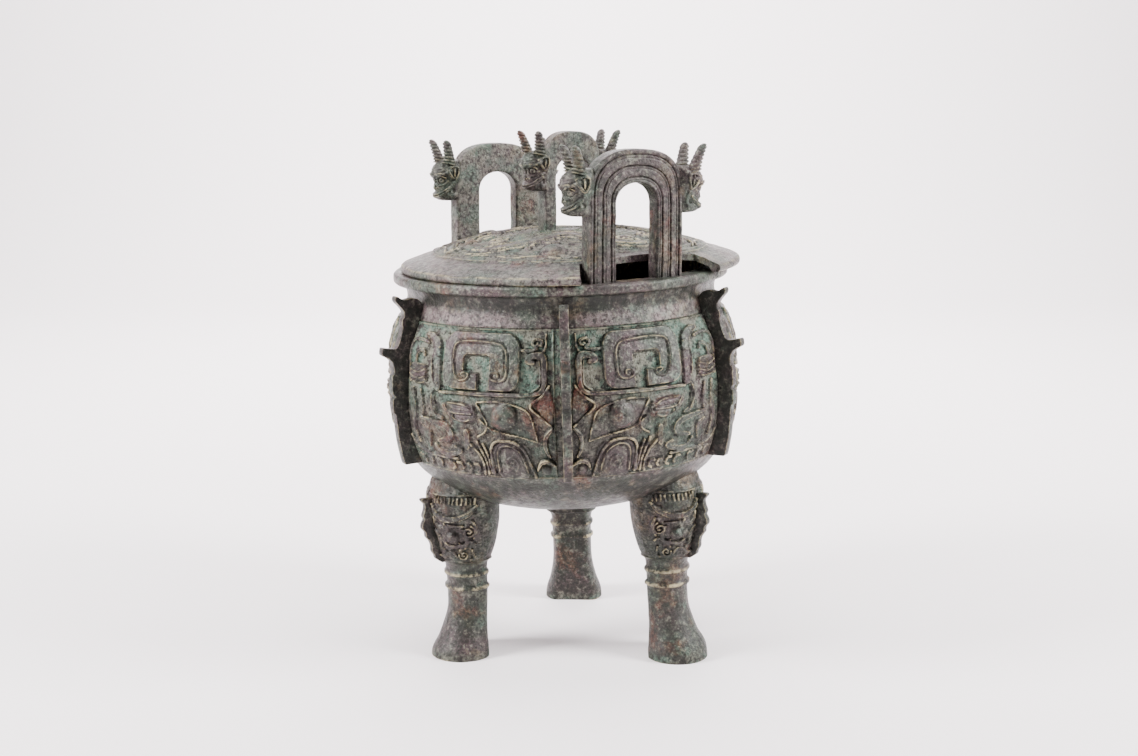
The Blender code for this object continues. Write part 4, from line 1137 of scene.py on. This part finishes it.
def studio():
    """A pale sweep, soft lights and the camera."""
    mesh, across, along = sheet(8, 60)
    depth = np.interp(along, (0, 0.5, 0.8, 1), (-2.4, 1.6, 2.4, 2.4))
    bend = np.clip((along - 0.5) / 0.3, 0, 1) * math.pi / 2
    curved = (along > 0.5) & (along <= 0.8)
    depth = np.where(curved, 1.6 + 0.8 * np.sin(bend), depth)
    rise = np.where(along <= 0.5, 0, np.where(curved, 0.8 * (1 - np.cos(bend)), 0.8 + (along - 0.8) * 12))
    set_points(mesh, np.column_stack([(across - 0.5) * 8, depth, rise]))
    paper = bpy.data.materials.new("pale paper")
    paper.use_nodes = True
    shader = paper.node_tree.nodes["Principled BSDF"]
    shader.inputs["Base Color"].default_value = PAPER
    shader.inputs["Roughness"].default_value = 0.9
    shader.inputs["Emission Color"].default_value = PAPER_GLOW
    shader.inputs["Emission Strength"].default_value = PAPER_GLOW_STRENGTH
    mesh.materials.append(paper)
    mesh.shade_smooth()
    floor = placed("floor", mesh)
    for name, place, aim, size, power in LAMPS:
        lamp = bpy.data.lights.new(name, "AREA")
        lamp.size = size
        lamp.energy = power
        light = placed(name, lamp)
        light.location = place
        light.rotation_euler = (Vector(aim) - Vector(place)).to_track_quat("-Z", "Y").to_euler()
    world = bpy.data.worlds.new("studio")
    world.use_nodes = True
    world.node_tree.nodes["Background"].inputs["Color"].default_value = SKY
    world.node_tree.nodes["Background"].inputs["Strength"].default_value = SKY_STRENGTH
    bpy.context.scene.world = world
    lens = bpy.data.cameras.new("camera")
    lens.lens = CAMERA_LENS
    lens.sensor_width = CAMERA_SENSOR
    camera = placed("camera", lens)
    camera.location = CAMERA_PLACE
    camera.rotation_euler = (CAMERA_TILT, 0, 0)
    bpy.context.scene.camera = camera


BRONZE = bronze(patina_group())
bowl()
for number in range(6):
    band_panel(number)
    flange(number)
for number in (1, 2, 3):
    azimuth = (2 * number - 1) * SIXTH + LEG_TURN
    leg(number, azimuth)
    leg_fin(number, azimuth)
for name, azimuth, face, twists, soot in RIM_HANDLES:
    foot = LEANING @ on_circle(azimuth, face, RIM_HEIGHT)
    stand = SHIFT @ Matrix.Translation(foot) @ Matrix.Rotation(azimuth, 4, "Z")
    handle_set(name, "vessel", stand, RIM_LOOP, HEAD_HEIGHT, 1.0, twists, soot, RIM_HANDLE_SEED)
lid()
stand = Matrix.Translation(SEATING @ Vector((0, 0, LID_RISE - HANDLE_EMBED / 2)))
stand = stand @ Matrix.Rotation(HANDLE_AZIMUTH, 4, "Z") @ Matrix.Translation((0, -HANDLE_THICKNESS / 2, 0))
handle_set("lid_handle", "lid", stand, LID_LOOP, LID_HEAD_HEIGHT, 0.0, LID_HEAD_TURNS, LID_HANDLE_DARKENING,
           LID_HANDLE_SEED)
studio()
